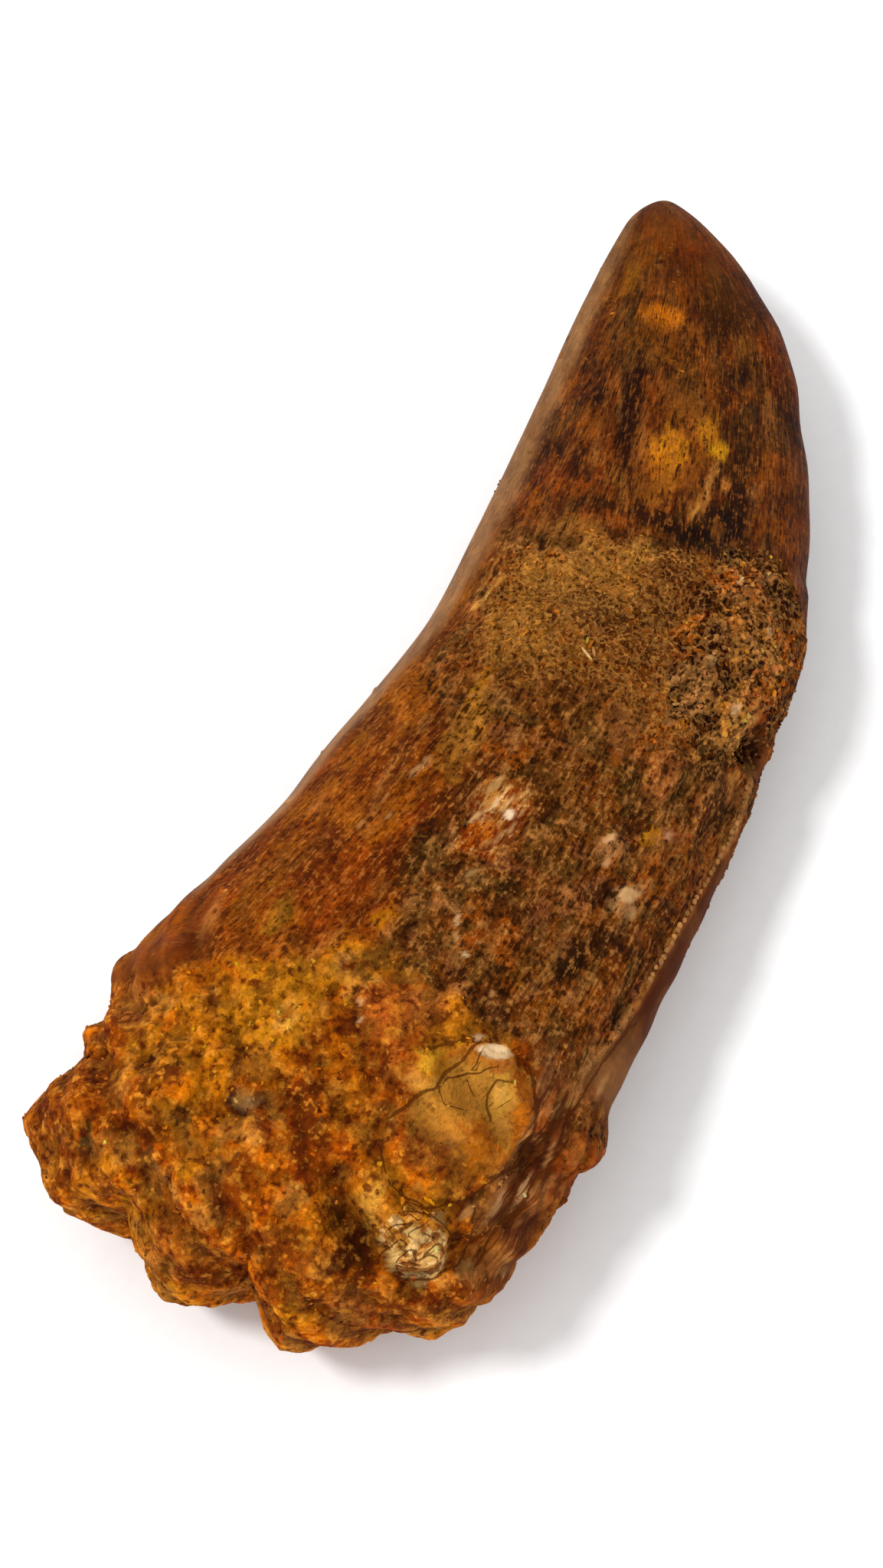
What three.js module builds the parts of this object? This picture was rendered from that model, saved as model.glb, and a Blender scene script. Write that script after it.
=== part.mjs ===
// A fossil tooth of a large meat-eating dinosaur, lying on its flat side.
// It is one natural piece: the enamel crown, the stub of the root with its broken lobes, and the
// sandy crust that has cemented itself to both.
//
// Millimetres. X runs from the root to the tip, +Y is the concave (rear) edge, -Y the convex (front)
// edge, +Z is up. The tooth is drawn from x = 0 at the root end and moved onto its origin, the centre
// of its footprint on the surface it lies on, at the very end.

import * as THREE from 'three';

// ---- driving dimensions ---------------------------------------------------------------------------

const TIP_X = 94.8;                       // the very tip, measured from the root end
const TIP_ROUND = 3.0;                    // length over which the tip rounds off
const TIP_POINT = [0.1, 10.6];            // y and z of the tip: it is held clear of the surface
const ROOT_X = 14.0;                      // where the root end starts to close
const ROOT_CENTRE = [ROOT_X, 0.0, 9.3];   // the middle of the root, which its lobes stand out from
const ROOT_REACH = 13.0;                  // reach of the closing cap before its lobes are drawn
const ROOT_ROUND = 2.5;                   // squareness of that cap: 2 is an ellipsoid
const FOOTPRINT_CENTRE = [47.5, -1.7];

// Edges and heights along the tooth, as x, value.
const FRONT_EDGE = [[0, -11], [8, -15.8], [14, -18.0], [21.5, -20.1], [25, -20.0], [34, -20.7],
  [44, -21.5], [50, -21.8], [57, -21.5], [62, -21.6], [66, -20.6], [72, -19.1], [80, -15.9],
  [88, -10.8], [92, -6.1], [TIP_X, -2.3]];
const REAR_EDGE = [[0, 12], [8, 16], [14, 16.6], [16, 16.9], [18.2, 16.0], [20.8, 17.0], [25, 15.5],
  [32, 12.8], [38, 10.6], [43, 9.5], [48, 8.0], [56, 5.8], [64, 5.0], [76, 4.1], [84, 3.6],
  [92, 2.6], [TIP_X, 2.0]];
const TOP = [[0, 15], [8, 18.6], [20, 20.0], [35, 18.4], [50, 16.4], [60, 15.2], [75, 13.8],
  [85, 13.0], [92, 12.3], [TIP_X, 11.6]];
const BELLY = [[0, 2.5], [8, -0.4], [20, -0.5], [35, 0.1], [50, -0.4], [60, 0.9], [75, 3.8],
  [85, 6.4], [92, 8.4], [TIP_X, 9.6]];
const FRONT_HEIGHT = [[0, 9], [20, 9.0], [50, 7.0], [60, 7.2], [75, 8.3], [88, 10.0], [TIP_X, 10.6]];
const REAR_HEIGHT = [[0, 9], [20, 8.5], [50, 6.0], [60, 6.8], [75, 8.3], [88, 10.0], [TIP_X, 10.6]];
const TOP_RIDGE = [[0, 1], [14, 1], [30, -1.5], [45, -4.5], [60, -6.0], [75, -4.5], [88, -2.4],
  [TIP_X, 0]];
const BELLY_LINE = [[0, 0], [14, 0], [30, -3.5], [45, -6.8], [60, -8.6], [75, -6.5], [88, -3.4],
  [TIP_X, -0.2]];
const SQUARENESS = [[0, 2.2], [20, 2.15], [50, 2.0], [70, 1.85], [TIP_X, 1.9]];

// The broken root end in plan: three lobes with a notch between each two.
const ROOT_OUTLINE = [
  [14, -18.0], [10, -17.0], [6.4, -15.5], [5.2, -14.1], [3.9, -10.5], [2.0, -7.9], [0.6, -5.5],
  [0.1, -4.2], [1.2, -2.7],
  [3.9, -0.6],                            // notch between the front and the middle lobe
  [2.6, 0.5], [1.3, 2.0], [0.7, 3.5], [0.9, 5.0], [2.1, 6.7],
  [4.9, 9.0],                             // notch between the middle and the rear lobe
  [4.0, 11.6], [4.0, 14.2], [6.3, 16.6], [8.9, 18.3], [11.4, 18.1], [14, 16.6],
];

// Lumps, plates and hollows of the upper face:
// centre x, y, radius along, radius across, turn in degrees, height (below 0 is a hollow), edge,
// where edge is the part of the radius that the slope takes up: 1 is a dome, 0.2 a flat-topped plate.
const UPPER_FORMS = [
  [17.2, -10.6, 6.8, 4.6, -8, 0.75, 0.22],    // oval plate beside the front edge
  [19.7, -13.3, 2.0, 1.2, 25, 0.25, 0.4],     // small oval set in that plate
  [8.6, -10.7, 2.7, 3.0, 20, 0.9, 0.55],      // wrinkled pale lump beyond the plate
  [6.0, -13.6, 3.2, 1.7, -30, 0.6, 0.8],      // lump at the front corner of the root
  [20.8, -5.6, 4.6, 2.4, 35, 0.9, 0.7],       // rough ridge across the root
  [24.5, -8.2, 2.4, 1.6, 10, 0.6, 0.8],
  [19.4, 2.9, 4.8, 3.8, 10, 0.65, 0.8],       // yellow boss
  [13.0, 8.6, 4.0, 3.0, -20, 0.7, 0.9],
  [20.8, 12.6, 3.6, 2.8, 15, 0.8, 0.8],       // shoulder over the rear notch
  [9.6, 13.6, 3.4, 2.8, 30, 0.8, 0.9],        // crest of the rear lobe
  [6.6, 4.4, 3.2, 2.8, 0, 0.8, 0.9],          // crest of the middle lobe
  [4.6, -5.2, 2.8, 2.6, 10, 0.9, 0.9],        // crest of the front lobe
  [11.0, -2.6, 3.0, 2.4, 25, 0.5, 0.9],
  [14.5, -3.4, 2.0, 1.6, 0, -0.5, 1.0],       // dip between the ridge and the boss
  [12.6, 3.6, 1.8, 1.4, 0, -0.5, 0.9],
  [39.3, -5.4, 3.6, 2.2, -12, -1.0, 0.45],    // hollow where a chip has flaked away
  [37.6, -15.8, 1.7, 1.2, 0, 0.7, 0.9],       // pale lumps near the front edge
  [40.3, -13.9, 1.8, 1.2, 15, 0.6, 0.9],
  [47.6, -15.4, 2.6, 1.7, -10, 0.6, 0.5],
  [59.0, -17.2, 8.5, 4.6, 2, 0.8, 0.5],       // coarse pitted crust on the front edge
  [61.5, -15.0, 1.5, 1.2, 0, -0.9, 0.9],      // its larger pits
  [56.0, -17.4, 1.3, 1.1, 0, -0.8, 0.9],
  [64.8, -17.6, 1.2, 1.0, 0, -0.7, 0.9],
  [53.0, -20.6, 2.2, 1.5, 8, -1.5, 0.8],      // hole beside the step in the front edge
  [72.5, -7.6, 4.4, 2.6, -5, 0.2, 0.8],
];

// The same for the face that the tooth lies on.
const LOWER_FORMS = [
  [9.0, 9.5, 4.5, 3.8, 20, 0.8, 0.9],
  [7.0, -2.5, 4.0, 4.2, 0, 0.8, 0.9],
  [11.5, -12.0, 4.6, 3.2, -25, 0.8, 0.9],
  [20.0, 8.0, 5.0, 3.4, 10, 0.7, 0.8],
  [24.5, -13.5, 4.6, 2.6, 12, 0.6, 0.8],
  [33.0, 4.0, 5.4, 2.4, 18, -0.6, 0.8],
  [44.0, -14.5, 4.2, 2.6, -5, -0.6, 0.6],
  [58.0, -15.5, 6.0, 3.8, 0, 0.6, 0.5],
];

// Creases of the upper face: path as x, y, then half width and depth.
const CREASES = [
  { path: [[10.4, -5.0], [8.2, -6.4], [6.2, -7.8], [3.6, -9.4]], width: 0.9, depth: 1.3 },
  { path: [[6.0, -11.5], [8.5, -14.4], [14, -15.9], [20, -17.1], [30, -18.7], [40, -19.9],
    [50, -20.9]], width: 0.55, depth: 0.6 },
];

// The sandy layer that lies over the lower crown and ends in a ledge.
const SAND = { front: 66.4, rootEnd: 46, fullFrom: 56, rearEdge: 1.5, thickness: 0.6, ledge: 0.9 };

const ROOT_RINGS = 15;
const BODY_RINGS = 74;
const AROUND = 54;
const UPPER_SHARE = 0.25;                 // how much finer the upper face is than the lower one
const TIP_CROWDING = 1.25;                // above 1 the rings draw together towards the tip

// ---- curves ---------------------------------------------------------------------------------------

const TAU = Math.PI * 2;
const clamp = (value, low, high) => Math.min(Math.max(value, low), high);

/** Smooth step from 0 at `from` to 1 at `to`. */
function ramp(value, from, to) {
  const t = clamp((value - from) / (to - from), 0, 1);
  return t * t * (3 - 2 * t);
}

/** Slope at knot i: its two chords' slopes, each weighted by the length of the other. */
function slopeAt(knots, i) {
  const last = knots.length - 1;
  const chord = (j) => (knots[j + 1][1] - knots[j][1]) / (knots[j + 1][0] - knots[j][0]);
  if (i === 0) return chord(0);
  if (i === last) return chord(last - 1);
  const before = knots[i][0] - knots[i - 1][0];
  const after = knots[i + 1][0] - knots[i][0];
  return (after * chord(i - 1) + before * chord(i)) / (before + after);
}

/** Height at x of the smooth curve through the knots, a cubic from each knot to the next. */
function through(knots, x) {
  const at = clamp(x, knots[0][0], knots[knots.length - 1][0]);
  let i = 0;
  while (i < knots.length - 2 && at >= knots[i + 1][0]) i += 1;
  const step = knots[i + 1][0] - knots[i][0];
  const t = (at - knots[i][0]) / step;
  const rise = t * t * (3 - 2 * t);
  return knots[i][1] * (1 - rise) + knots[i + 1][1] * rise
    + step * t * (1 - t) * ((1 - t) * slopeAt(knots, i) - t * slopeAt(knots, i + 1));
}

// ---- the plain body -------------------------------------------------------------------------------

/** Point of the cross-section at x, at angle v: four superellipse quarters, closed in at the tip. */
function sectionPoint(x, v) {
  const power = 2 / through(SQUARENESS, x);
  const across = Math.abs(Math.cos(v)) ** power;
  const upright = Math.abs(Math.sin(v)) ** power;
  const rear = Math.cos(v) >= 0;
  const upper = Math.sin(v) >= 0;
  const middleY = through(upper ? TOP_RIDGE : BELLY_LINE, x);
  const edgeY = through(rear ? REAR_EDGE : FRONT_EDGE, x);
  const edgeZ = through(rear ? REAR_HEIGHT : FRONT_HEIGHT, x);
  const faceZ = through(upper ? TOP : BELLY, x);
  const y = middleY + (edgeY - middleY) * across;
  const z = edgeZ + (faceZ - edgeZ) * upright;
  const along = clamp((x - (TIP_X - TIP_ROUND)) / TIP_ROUND, 0, 1);
  const closing = Math.sqrt(1 - along * along);
  const [tipY, tipZ] = TIP_POINT;
  return [x, tipY + (y - tipY) * closing, tipZ + (z - tipZ) * closing];
}

const [rootX, rootY, rootZ] = ROOT_CENTRE;
const rootReach = ROOT_OUTLINE.map(([x, y]) => [
  Math.atan2(y - rootY, rootX - x), Math.hypot(x - rootX, y - rootY)]);

/** Reach of the root end in plan at an angle from straight back, straight from point to point. */
function outlineReach(angle) {
  let i = 0;
  while (i < rootReach.length - 2 && angle >= rootReach[i + 1][0]) i += 1;
  const [[a, reachA], [b, reachB]] = [rootReach[i], rootReach[i + 1]];
  return reachA + (reachB - reachA) * clamp((angle - a) / (b - a), 0, 1);
}

/**
 * Point of the root end: a superellipse cap over the root's section, from the section (latitude 0)
 * to its pole (a quarter turn), pushed in plan to the outline of the lobes. The notches between the
 * lobes die out towards the top and the underside.
 */
function rootPoint(latitude, v) {
  const power = 2 / ROOT_ROUND;
  const back = Math.sin(latitude) ** power;
  const ring = Math.cos(latitude) ** power;
  const [, sectionY, sectionZ] = sectionPoint(ROOT_X, v);
  const dx = -ROOT_REACH * back;
  const dy = (sectionY - rootY) * ring;
  const dz = (sectionZ - rootZ) * ring;
  const angle = Math.atan2(dy, -dx);
  const side = Math.abs(through(dy >= 0 ? REAR_EDGE : FRONT_EDGE, ROOT_X) - rootY);
  const capReach = (Math.abs(Math.cos(angle) / ROOT_REACH) ** ROOT_ROUND
    + Math.abs(Math.sin(angle) / side) ** ROOT_ROUND) ** (-1 / ROOT_ROUND);
  const halfHeight = dz >= 0 ? through(TOP, ROOT_X) - rootZ : rootZ;
  const low = 1 - clamp(Math.abs(dz) / halfHeight, 0, 1) ** 2;
  const push = 1 + (outlineReach(angle) / capReach - 1) * low;
  return [rootX + dx * push, rootY + dy * push, rootZ + dz];
}

/** All rings of the plain body, from the root's pole (left out) to the tip (left out). */
function plainRings() {
  const angles = Array.from({ length: AROUND }, (_, j) => {
    const turn = TAU * j / AROUND;
    return turn + UPPER_SHARE * Math.cos(turn);
  });
  const rings = [];
  for (let i = 1; i <= ROOT_RINGS; i += 1) {
    const latitude = (1 - i / (ROOT_RINGS + 1)) * Math.PI / 2;
    rings.push(angles.map((v) => rootPoint(latitude, v)));
  }
  for (let i = 0; i < BODY_RINGS; i += 1) {
    const along = 1 - (1 - i / BODY_RINGS) ** TIP_CROWDING;
    const x = ROOT_X + (TIP_X - ROOT_X) * along;
    rings.push(angles.map((v) => sectionPoint(x, v)));
  }
  return rings;
}

// ---- relief ---------------------------------------------------------------------------------------

/** Height of one lump, plate or hollow at a point in plan. */
function formHeight([cx, cy, alongRadius, acrossRadius, turn, height, edge], x, y) {
  const angle = THREE.MathUtils.degToRad(turn);
  const along = ((x - cx) * Math.cos(angle) + (y - cy) * Math.sin(angle)) / alongRadius;
  const across = ((y - cy) * Math.cos(angle) - (x - cx) * Math.sin(angle)) / acrossRadius;
  return height * ramp(1 - Math.hypot(along, across), 0, edge);
}

/** Distance in plan from a point to a path of straight runs. */
function distanceTo(path, x, y) {
  let nearest = Infinity;
  for (let i = 0; i < path.length - 1; i += 1) {
    const [ax, ay] = path[i];
    const run = [path[i + 1][0] - ax, path[i + 1][1] - ay];
    const t = clamp(((x - ax) * run[0] + (y - ay) * run[1]) / (run[0] ** 2 + run[1] ** 2), 0, 1);
    nearest = Math.min(nearest, Math.hypot(x - ax - run[0] * t, y - ay - run[1] * t));
  }
  return nearest;
}

/** Thickness of the sandy layer: full behind its wavy ledge, thinning away towards the root. */
function sandThickness(x, y) {
  const ledgeX = SAND.front + 0.6 * Math.sin(0.9 * y + 0.5) + 0.3 * Math.sin(2.3 * y)
    - 0.02 * (y + 9) ** 2;
  return SAND.thickness * ramp(ledgeX - x, 0, SAND.ledge) * ramp(x, SAND.rootEnd, SAND.fullFrom)
    * ramp(SAND.rearEdge - y, 0, 4);
}

/** Slow swelling of the whole skin, stronger on the root than on the crown. */
function swelling(x, y, z) {
  const onRoot = ramp(x, 30, 20);
  const wave = Math.sin(0.85 * x + 0.6 * z) * Math.sin(0.75 * y + 0.4)
    + 0.6 * Math.sin(1.3 * x - 1.1 * y + z);
  return (0.08 + 0.22 * onRoot) * wave;
}

/** How far the skin stands out from the plain body at a point whose outward normal has upness nz. */
function reliefAt([x, y, z], nz) {
  const upper = ramp(nz, -0.1, 0.35);
  const lower = ramp(-nz, 0.1, 0.5);
  const sum = (forms) => forms.reduce((total, form) => total + formHeight(form, x, y), 0);
  const cut = CREASES.reduce((total, crease) => {
    const away = distanceTo(crease.path, x, y) / crease.width;
    return total + crease.depth * Math.exp(-away * away);
  }, 0);
  return swelling(x, y, z) + upper * (sum(UPPER_FORMS) + sandThickness(x, y) - cut)
    + lower * sum(LOWER_FORMS);
}

/** Outward normal of the plain body at ring i, column j, from its four neighbours. */
function normalAt(rings, i, j) {
  const ring = (k) => rings[clamp(k, 0, rings.length - 1)];
  const next = new THREE.Vector3(...ring(i + 1)[j]).sub(new THREE.Vector3(...ring(i - 1)[j]));
  const turned = new THREE.Vector3(...rings[i][(j + 1) % AROUND])
    .sub(new THREE.Vector3(...rings[i][(j + AROUND - 1) % AROUND]));
  return turned.cross(next).normalize();
}

/** The rings with their relief, cut flat where they would reach below the surface. */
function finishedRings() {
  const plain = plainRings();
  return plain.map((ring, i) => ring.map((point, j) => {
    const normal = normalAt(plain, i, j);
    const out = reliefAt(point, normal.z);
    const [x, y, z] = point;
    return [x + normal.x * out, y + normal.y * out, Math.max(z + normal.z * out, 0)];
  }));
}

// ---- the mesh -------------------------------------------------------------------------------------

/** Closed skin over the rings, with a fan to the pole at each end. */
function skin(rings, firstPole, lastPole) {
  const points = [firstPole, ...rings.flat(), lastPole];
  const at = (i, j) => 1 + i * AROUND + (j % AROUND);
  const last = points.length - 1;
  const faces = [];
  for (let j = 0; j < AROUND; j += 1) {
    faces.push(0, at(0, j + 1), at(0, j));
    for (let i = 0; i < rings.length - 1; i += 1) {
      faces.push(at(i, j), at(i, j + 1), at(i + 1, j + 1));
      faces.push(at(i, j), at(i + 1, j + 1), at(i + 1, j));
    }
    faces.push(at(rings.length - 1, j), at(rings.length - 1, j + 1), last);
  }
  const geometry = new THREE.BufferGeometry();
  geometry.setAttribute('position', new THREE.Float32BufferAttribute(points.flat(), 3));
  geometry.setIndex(faces);
  geometry.computeVertexNormals();
  return geometry;
}

/** The whole tooth, as one mesh. */
function makeTooth() {
  const rootPole = rootPoint(Math.PI / 2, 0);
  const tip = [TIP_X, ...TIP_POINT];
  const geometry = skin(finishedRings(), rootPole, tip);
  const fossil = new THREE.MeshStandardMaterial({ color: 0x7a4318, roughness: 0.7, metalness: 0 });
  const mesh = new THREE.Mesh(geometry, fossil);
  mesh.name = 'tooth';
  mesh.position.set(-FOOTPRINT_CENTRE[0], -FOOTPRINT_CENTRE[1], 0);
  return mesh;
}

const part = new THREE.Group();
part.add(makeTooth());

export default part;
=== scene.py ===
"""A fossil tooth of a large meat-eating dinosaur, lying on its flat side on a pale floor.

The tooth is drawn in millimetres from x = 0 at its root end to its tip, +Y towards the concave rear
edge, +Z up. `to_row` moves it onto the row's origin and turns it into metres.
"""

import math

import bpy
import numpy as np
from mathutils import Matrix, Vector


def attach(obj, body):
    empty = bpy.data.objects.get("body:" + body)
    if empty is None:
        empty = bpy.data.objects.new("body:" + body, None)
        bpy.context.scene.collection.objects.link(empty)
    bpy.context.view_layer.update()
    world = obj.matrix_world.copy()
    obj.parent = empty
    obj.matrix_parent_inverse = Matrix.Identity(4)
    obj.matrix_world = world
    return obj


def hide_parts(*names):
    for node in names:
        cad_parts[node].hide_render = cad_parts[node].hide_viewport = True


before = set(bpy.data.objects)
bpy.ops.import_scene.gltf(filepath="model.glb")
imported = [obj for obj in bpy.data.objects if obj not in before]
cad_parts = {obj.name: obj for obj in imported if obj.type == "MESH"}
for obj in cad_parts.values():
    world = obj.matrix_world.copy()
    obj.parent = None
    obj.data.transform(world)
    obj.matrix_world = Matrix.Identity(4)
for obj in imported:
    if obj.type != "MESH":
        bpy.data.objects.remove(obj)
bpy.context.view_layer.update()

MM = 0.001
BODY = "root"
NODE = "tooth"

# ---- the tooth's driving dimensions, in millimetres -----------------------------------------------
#
# The edges, heights, sections and the root's outline are those of the part's source. Of its smaller
# forms, the oval plate, the small oval on it and the chip's hollow are flatter here, the creases are
# wider, and the sandy layer is thinner, ends nearer the root and has softer edges.

TIP_X = 94.8                # the very tip, measured from the root end
TIP_ROUND = 3.0             # length over which the tip rounds off
TIP_POINT = (0.1, 10.6)     # y and z of the tip, which is held clear of the floor
ROOT_X = 14.0               # where the root end starts to close
ROOT_CENTRE = (ROOT_X, 0.0, 9.3)
ROOT_REACH = 13.0           # reach of the closing cap before its lobes are drawn
ROOT_ROUND = 2.5            # squareness of that cap: 2 is an ellipsoid
FOOTPRINT_CENTRE = (47.5, -1.7)

# Edges and heights along the tooth, as x, value.
FRONT_EDGE = [(0, -11), (8, -15.8), (14, -18.0), (21.5, -20.1), (25, -20.0), (34, -20.7), (44, -21.5),
              (50, -21.8), (57, -21.5), (62, -21.6), (66, -20.6), (72, -19.1), (80, -15.9),
              (88, -10.8), (92, -6.1), (TIP_X, -2.3)]
REAR_EDGE = [(0, 12), (8, 16), (14, 16.6), (16, 16.9), (18.2, 16.0), (20.8, 17.0), (25, 15.5),
             (32, 12.8), (38, 10.6), (43, 9.5), (48, 8.0), (56, 5.8), (64, 5.0), (76, 4.1),
             (84, 3.6), (92, 2.6), (TIP_X, 2.0)]
TOP = [(0, 15), (8, 18.6), (20, 20.0), (35, 18.4), (50, 16.4), (60, 15.2), (75, 13.8), (85, 13.0),
       (92, 12.3), (TIP_X, 11.6)]
BELLY = [(0, 2.5), (8, -0.4), (20, -0.5), (35, 0.1), (50, -0.4), (60, 0.9), (75, 3.8), (85, 6.4),
         (92, 8.4), (TIP_X, 9.6)]
FRONT_HEIGHT = [(0, 9), (20, 9.0), (50, 7.0), (60, 7.2), (75, 8.3), (88, 10.0), (TIP_X, 10.6)]
REAR_HEIGHT = [(0, 9), (20, 8.5), (50, 6.0), (60, 6.8), (75, 8.3), (88, 10.0), (TIP_X, 10.6)]
TOP_RIDGE = [(0, 1), (14, 1), (30, -1.5), (45, -4.5), (60, -6.0), (75, -4.5), (88, -2.4), (TIP_X, 0)]
BELLY_LINE = [(0, 0), (14, 0), (30, -3.5), (45, -6.8), (60, -8.6), (75, -6.5), (88, -3.4),
              (TIP_X, -0.2)]
SQUARENESS = [(0, 2.2), (20, 2.15), (50, 2.0), (70, 1.85), (TIP_X, 1.9)]

# The broken root end in plan: three lobes with a notch between each two.
ROOT_OUTLINE = [(14, -18.0), (10, -17.0), (6.4, -15.5), (5.2, -14.1), (3.9, -10.5), (2.0, -7.9),
                (0.6, -5.5), (0.1, -4.2), (1.2, -2.7), (3.9, -0.6), (2.6, 0.5), (1.3, 2.0),
                (0.7, 3.5), (0.9, 5.0), (2.1, 6.7), (4.9, 9.0), (4.0, 11.6), (4.0, 14.2),
                (6.3, 16.6), (8.9, 18.3), (11.4, 18.1), (14, 16.6)]

# Lumps, plates and hollows of the upper face: centre x, y, radius along, radius across, turn in
# degrees, height (below 0 is a hollow), edge. Edge 1 is a dome, 0.2 a flat-topped plate.
UPPER_FORMS = [
    (17.2, -10.8, 6.6, 4.8, -8, 0.5, 0.22),     # oval plate beside the front edge
    (19.7, -13.3, 2.0, 1.2, 25, 0.12, 0.4),     # small oval set in that plate
    (8.6, -10.7, 2.7, 3.0, 20, 0.9, 0.55),      # wrinkled pale lump beyond the plate
    (6.0, -13.6, 3.2, 1.7, -30, 0.6, 0.8),      # lump at the front corner of the root
    (20.8, -5.6, 4.6, 2.4, 35, 0.9, 0.7),       # rough ridge across the root
    (24.5, -8.2, 2.4, 1.6, 10, 0.6, 0.8),
    (19.4, 2.9, 4.8, 3.8, 10, 0.65, 0.8),       # yellow boss
    (13.0, 8.6, 4.0, 3.0, -20, 0.7, 0.9),
    (20.8, 12.6, 3.6, 2.8, 15, 0.8, 0.8),       # shoulder over the rear notch
    (9.6, 13.6, 3.4, 2.8, 30, 0.8, 0.9),        # crest of the rear lobe
    (6.6, 4.4, 3.2, 2.8, 0, 0.8, 0.9),          # crest of the middle lobe
    (4.6, -5.2, 2.8, 2.6, 10, 0.9, 0.9),        # crest of the front lobe
    (11.0, -2.6, 3.0, 2.4, 25, 0.5, 0.9),
    (14.5, -3.4, 2.0, 1.6, 0, -0.5, 1.0),       # dip between the ridge and the boss
    (12.6, 3.6, 1.8, 1.4, 0, -0.5, 0.9),
    (39.3, -5.6, 3.6, 2.6, -12, -0.5, 0.3),     # hollow where a chip has flaked away
    (37.6, -15.8, 1.7, 1.2, 0, 0.7, 0.9),       # pale lumps near the front edge
    (40.3, -13.9, 1.8, 1.2, 15, 0.6, 0.9),
    (47.6, -15.4, 2.6, 1.7, -10, 0.6, 0.5),
    (59.0, -17.2, 8.5, 4.6, 2, 0.8, 0.5),       # coarse pitted crust on the front edge
    (61.5, -15.0, 1.5, 1.2, 0, -0.9, 0.9),      # its larger pits
    (56.0, -17.4, 1.3, 1.1, 0, -0.8, 0.9),
    (64.8, -17.6, 1.2, 1.0, 0, -0.7, 0.9),
    (53.0, -20.6, 2.2, 1.5, 8, -1.5, 0.8),      # hole beside the step in the front edge
    (72.5, -7.6, 4.4, 2.6, -5, 0.2, 0.8),
]

# The same for the face that the tooth lies on.
LOWER_FORMS = [
    (9.0, 9.5, 4.5, 3.8, 20, 0.8, 0.9), (7.0, -2.5, 4.0, 4.2, 0, 0.8, 0.9),
    (11.5, -12.0, 4.6, 3.2, -25, 0.8, 0.9), (20.0, 8.0, 5.0, 3.4, 10, 0.7, 0.8),
    (24.5, -13.5, 4.6, 2.6, 12, 0.6, 0.8), (33.0, 4.0, 5.4, 2.4, 18, -0.6, 0.8),
    (44.0, -14.5, 4.2, 2.6, -5, -0.6, 0.6), (58.0, -15.5, 6.0, 3.8, 0, 0.6, 0.5),
]

# Creases of the upper face: path as x, y, then half width and depth.
CREASES = [
    ([(10.4, -5.0), (8.2, -6.4), (6.2, -7.8)], 1.3, 1.2),
    ([(6.0, -11.5), (8.5, -14.4), (14, -15.9), (20, -17.1), (30, -18.7), (40, -19.9), (50, -20.9)],
     1.0, 0.5),
]

# The sandy layer over the lower crown.
SAND_FRONT = 62.6           # x of the ledge that it ends in, where y is 0
SAND_SLANT = 0.3            # how far the ledge falls back for each millimetre across
SAND_WAVES = [(0.6, 0.9, 0.5), (0.3, 2.3, 0)]   # its waves: height, radians per millimetre, start
SAND_LEDGE = 1.8            # length over which the ledge rises
SAND_ROOT_END = 46          # x where the layer starts
SAND_FULL_FROM = 56         # x from which it has its full thickness
SAND_REAR_EDGE = 3.2        # y where it ends at the rear
SAND_REAR_FADE = 3          # width over which it thins out there
SAND_THICKNESS = 0.40

# Height of the slow swelling of the whole skin: on the crown, and how much more it is on the root.
SWELLING_CROWN, SWELLING_MORE = 0.08, 0.22

# ---- fineness of the skin -------------------------------------------------------------------------

ROOT_RINGS = 52
BODY_RINGS = 288
AROUND = 290
UPPER_SHARE = 0.42          # draws the columns of the grid up to the face that shows
TIP_RINGS_SHARE = 0.06      # share of the body's rings that round off the tip

# How the body's rings are spread, as share, x: closest over the root and the middle.
STATIONS = [(0, ROOT_X), (0.4, 34), (0.72, 56), (0.84, 70), (1 - TIP_RINGS_SHARE, TIP_X - TIP_ROUND)]

TAU = 2 * math.pi


# ---- curves and fixed noise -----------------------------------------------------------------------

def ramp(value, start, end):
    """Smooth step from 0 at start to 1 at end."""
    t = np.clip((value - start) / (end - start), 0, 1)
    return t * t * (3 - 2 * t)


def through(knots, x):
    """Height at x of the smooth curve through the knots: a cubic from each knot to the next, whose
    slope at a knot is the mean of its two chords, each weighted by the length of the other."""
    places, heights = np.array(knots, float).T
    x = np.clip(x, places[0], places[-1])
    i = np.clip(np.searchsorted(places, x, side="right") - 1, 0, len(places) - 2)
    slopes = np.gradient(heights, places)
    step = places[i + 1] - places[i]
    t = (x - places[i]) / step
    rise = t * t * (3 - 2 * t)
    return (heights[i] * (1 - rise) + heights[i + 1] * rise
            + step * t * (1 - t) * ((1 - t) * slopes[i] - t * slopes[i + 1]))


def lattice(place, seed):
    """A fixed random number from 0 to 1 for each whole-numbered place, mixed with large odd numbers."""
    ix, iy, iz = np.moveaxis(place.astype(np.uint32), -1, 0)
    n = (ix * np.uint32(374761393) + iy * np.uint32(668265263) + iz * np.uint32(3266489917)
         + np.uint32(seed * 7919 + 17))
    n = (n ^ (n >> np.uint32(13))) * np.uint32(1274126177)
    n = (n ^ (n >> np.uint32(15))) * np.uint32(2246822519)
    return (n ^ (n >> np.uint32(16))) / 4294967296.0


def cloud(points, size, seed, octaves=1):
    """Soft noise from -1 to 1: random values on a lattice of that size, blended smoothly, and again
    at half the size and half the strength for each further octave."""
    total, strength, weight = 0, 1.0, 0
    for octave in range(octaves):
        p = points / size * 2 ** octave + 31.7 * octave
        cell = np.floor(p).astype(np.int64)
        t = p - cell
        t = t * t * (3 - 2 * t)
        value = 0
        for corner in range(8):
            offset = np.array([corner & 1, corner >> 1 & 1, corner >> 2])
            share = np.prod(np.where(offset, t, 1 - t), axis=-1)
            value = value + share * lattice(cell + offset, seed + octave)
        total = total + strength * (2 * value - 1)
        weight += strength
        strength *= 0.5
    return total / weight


COBBLE_RADIUS = 0.75        # of a cobble's dome, where the lattice's size is 1


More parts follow.
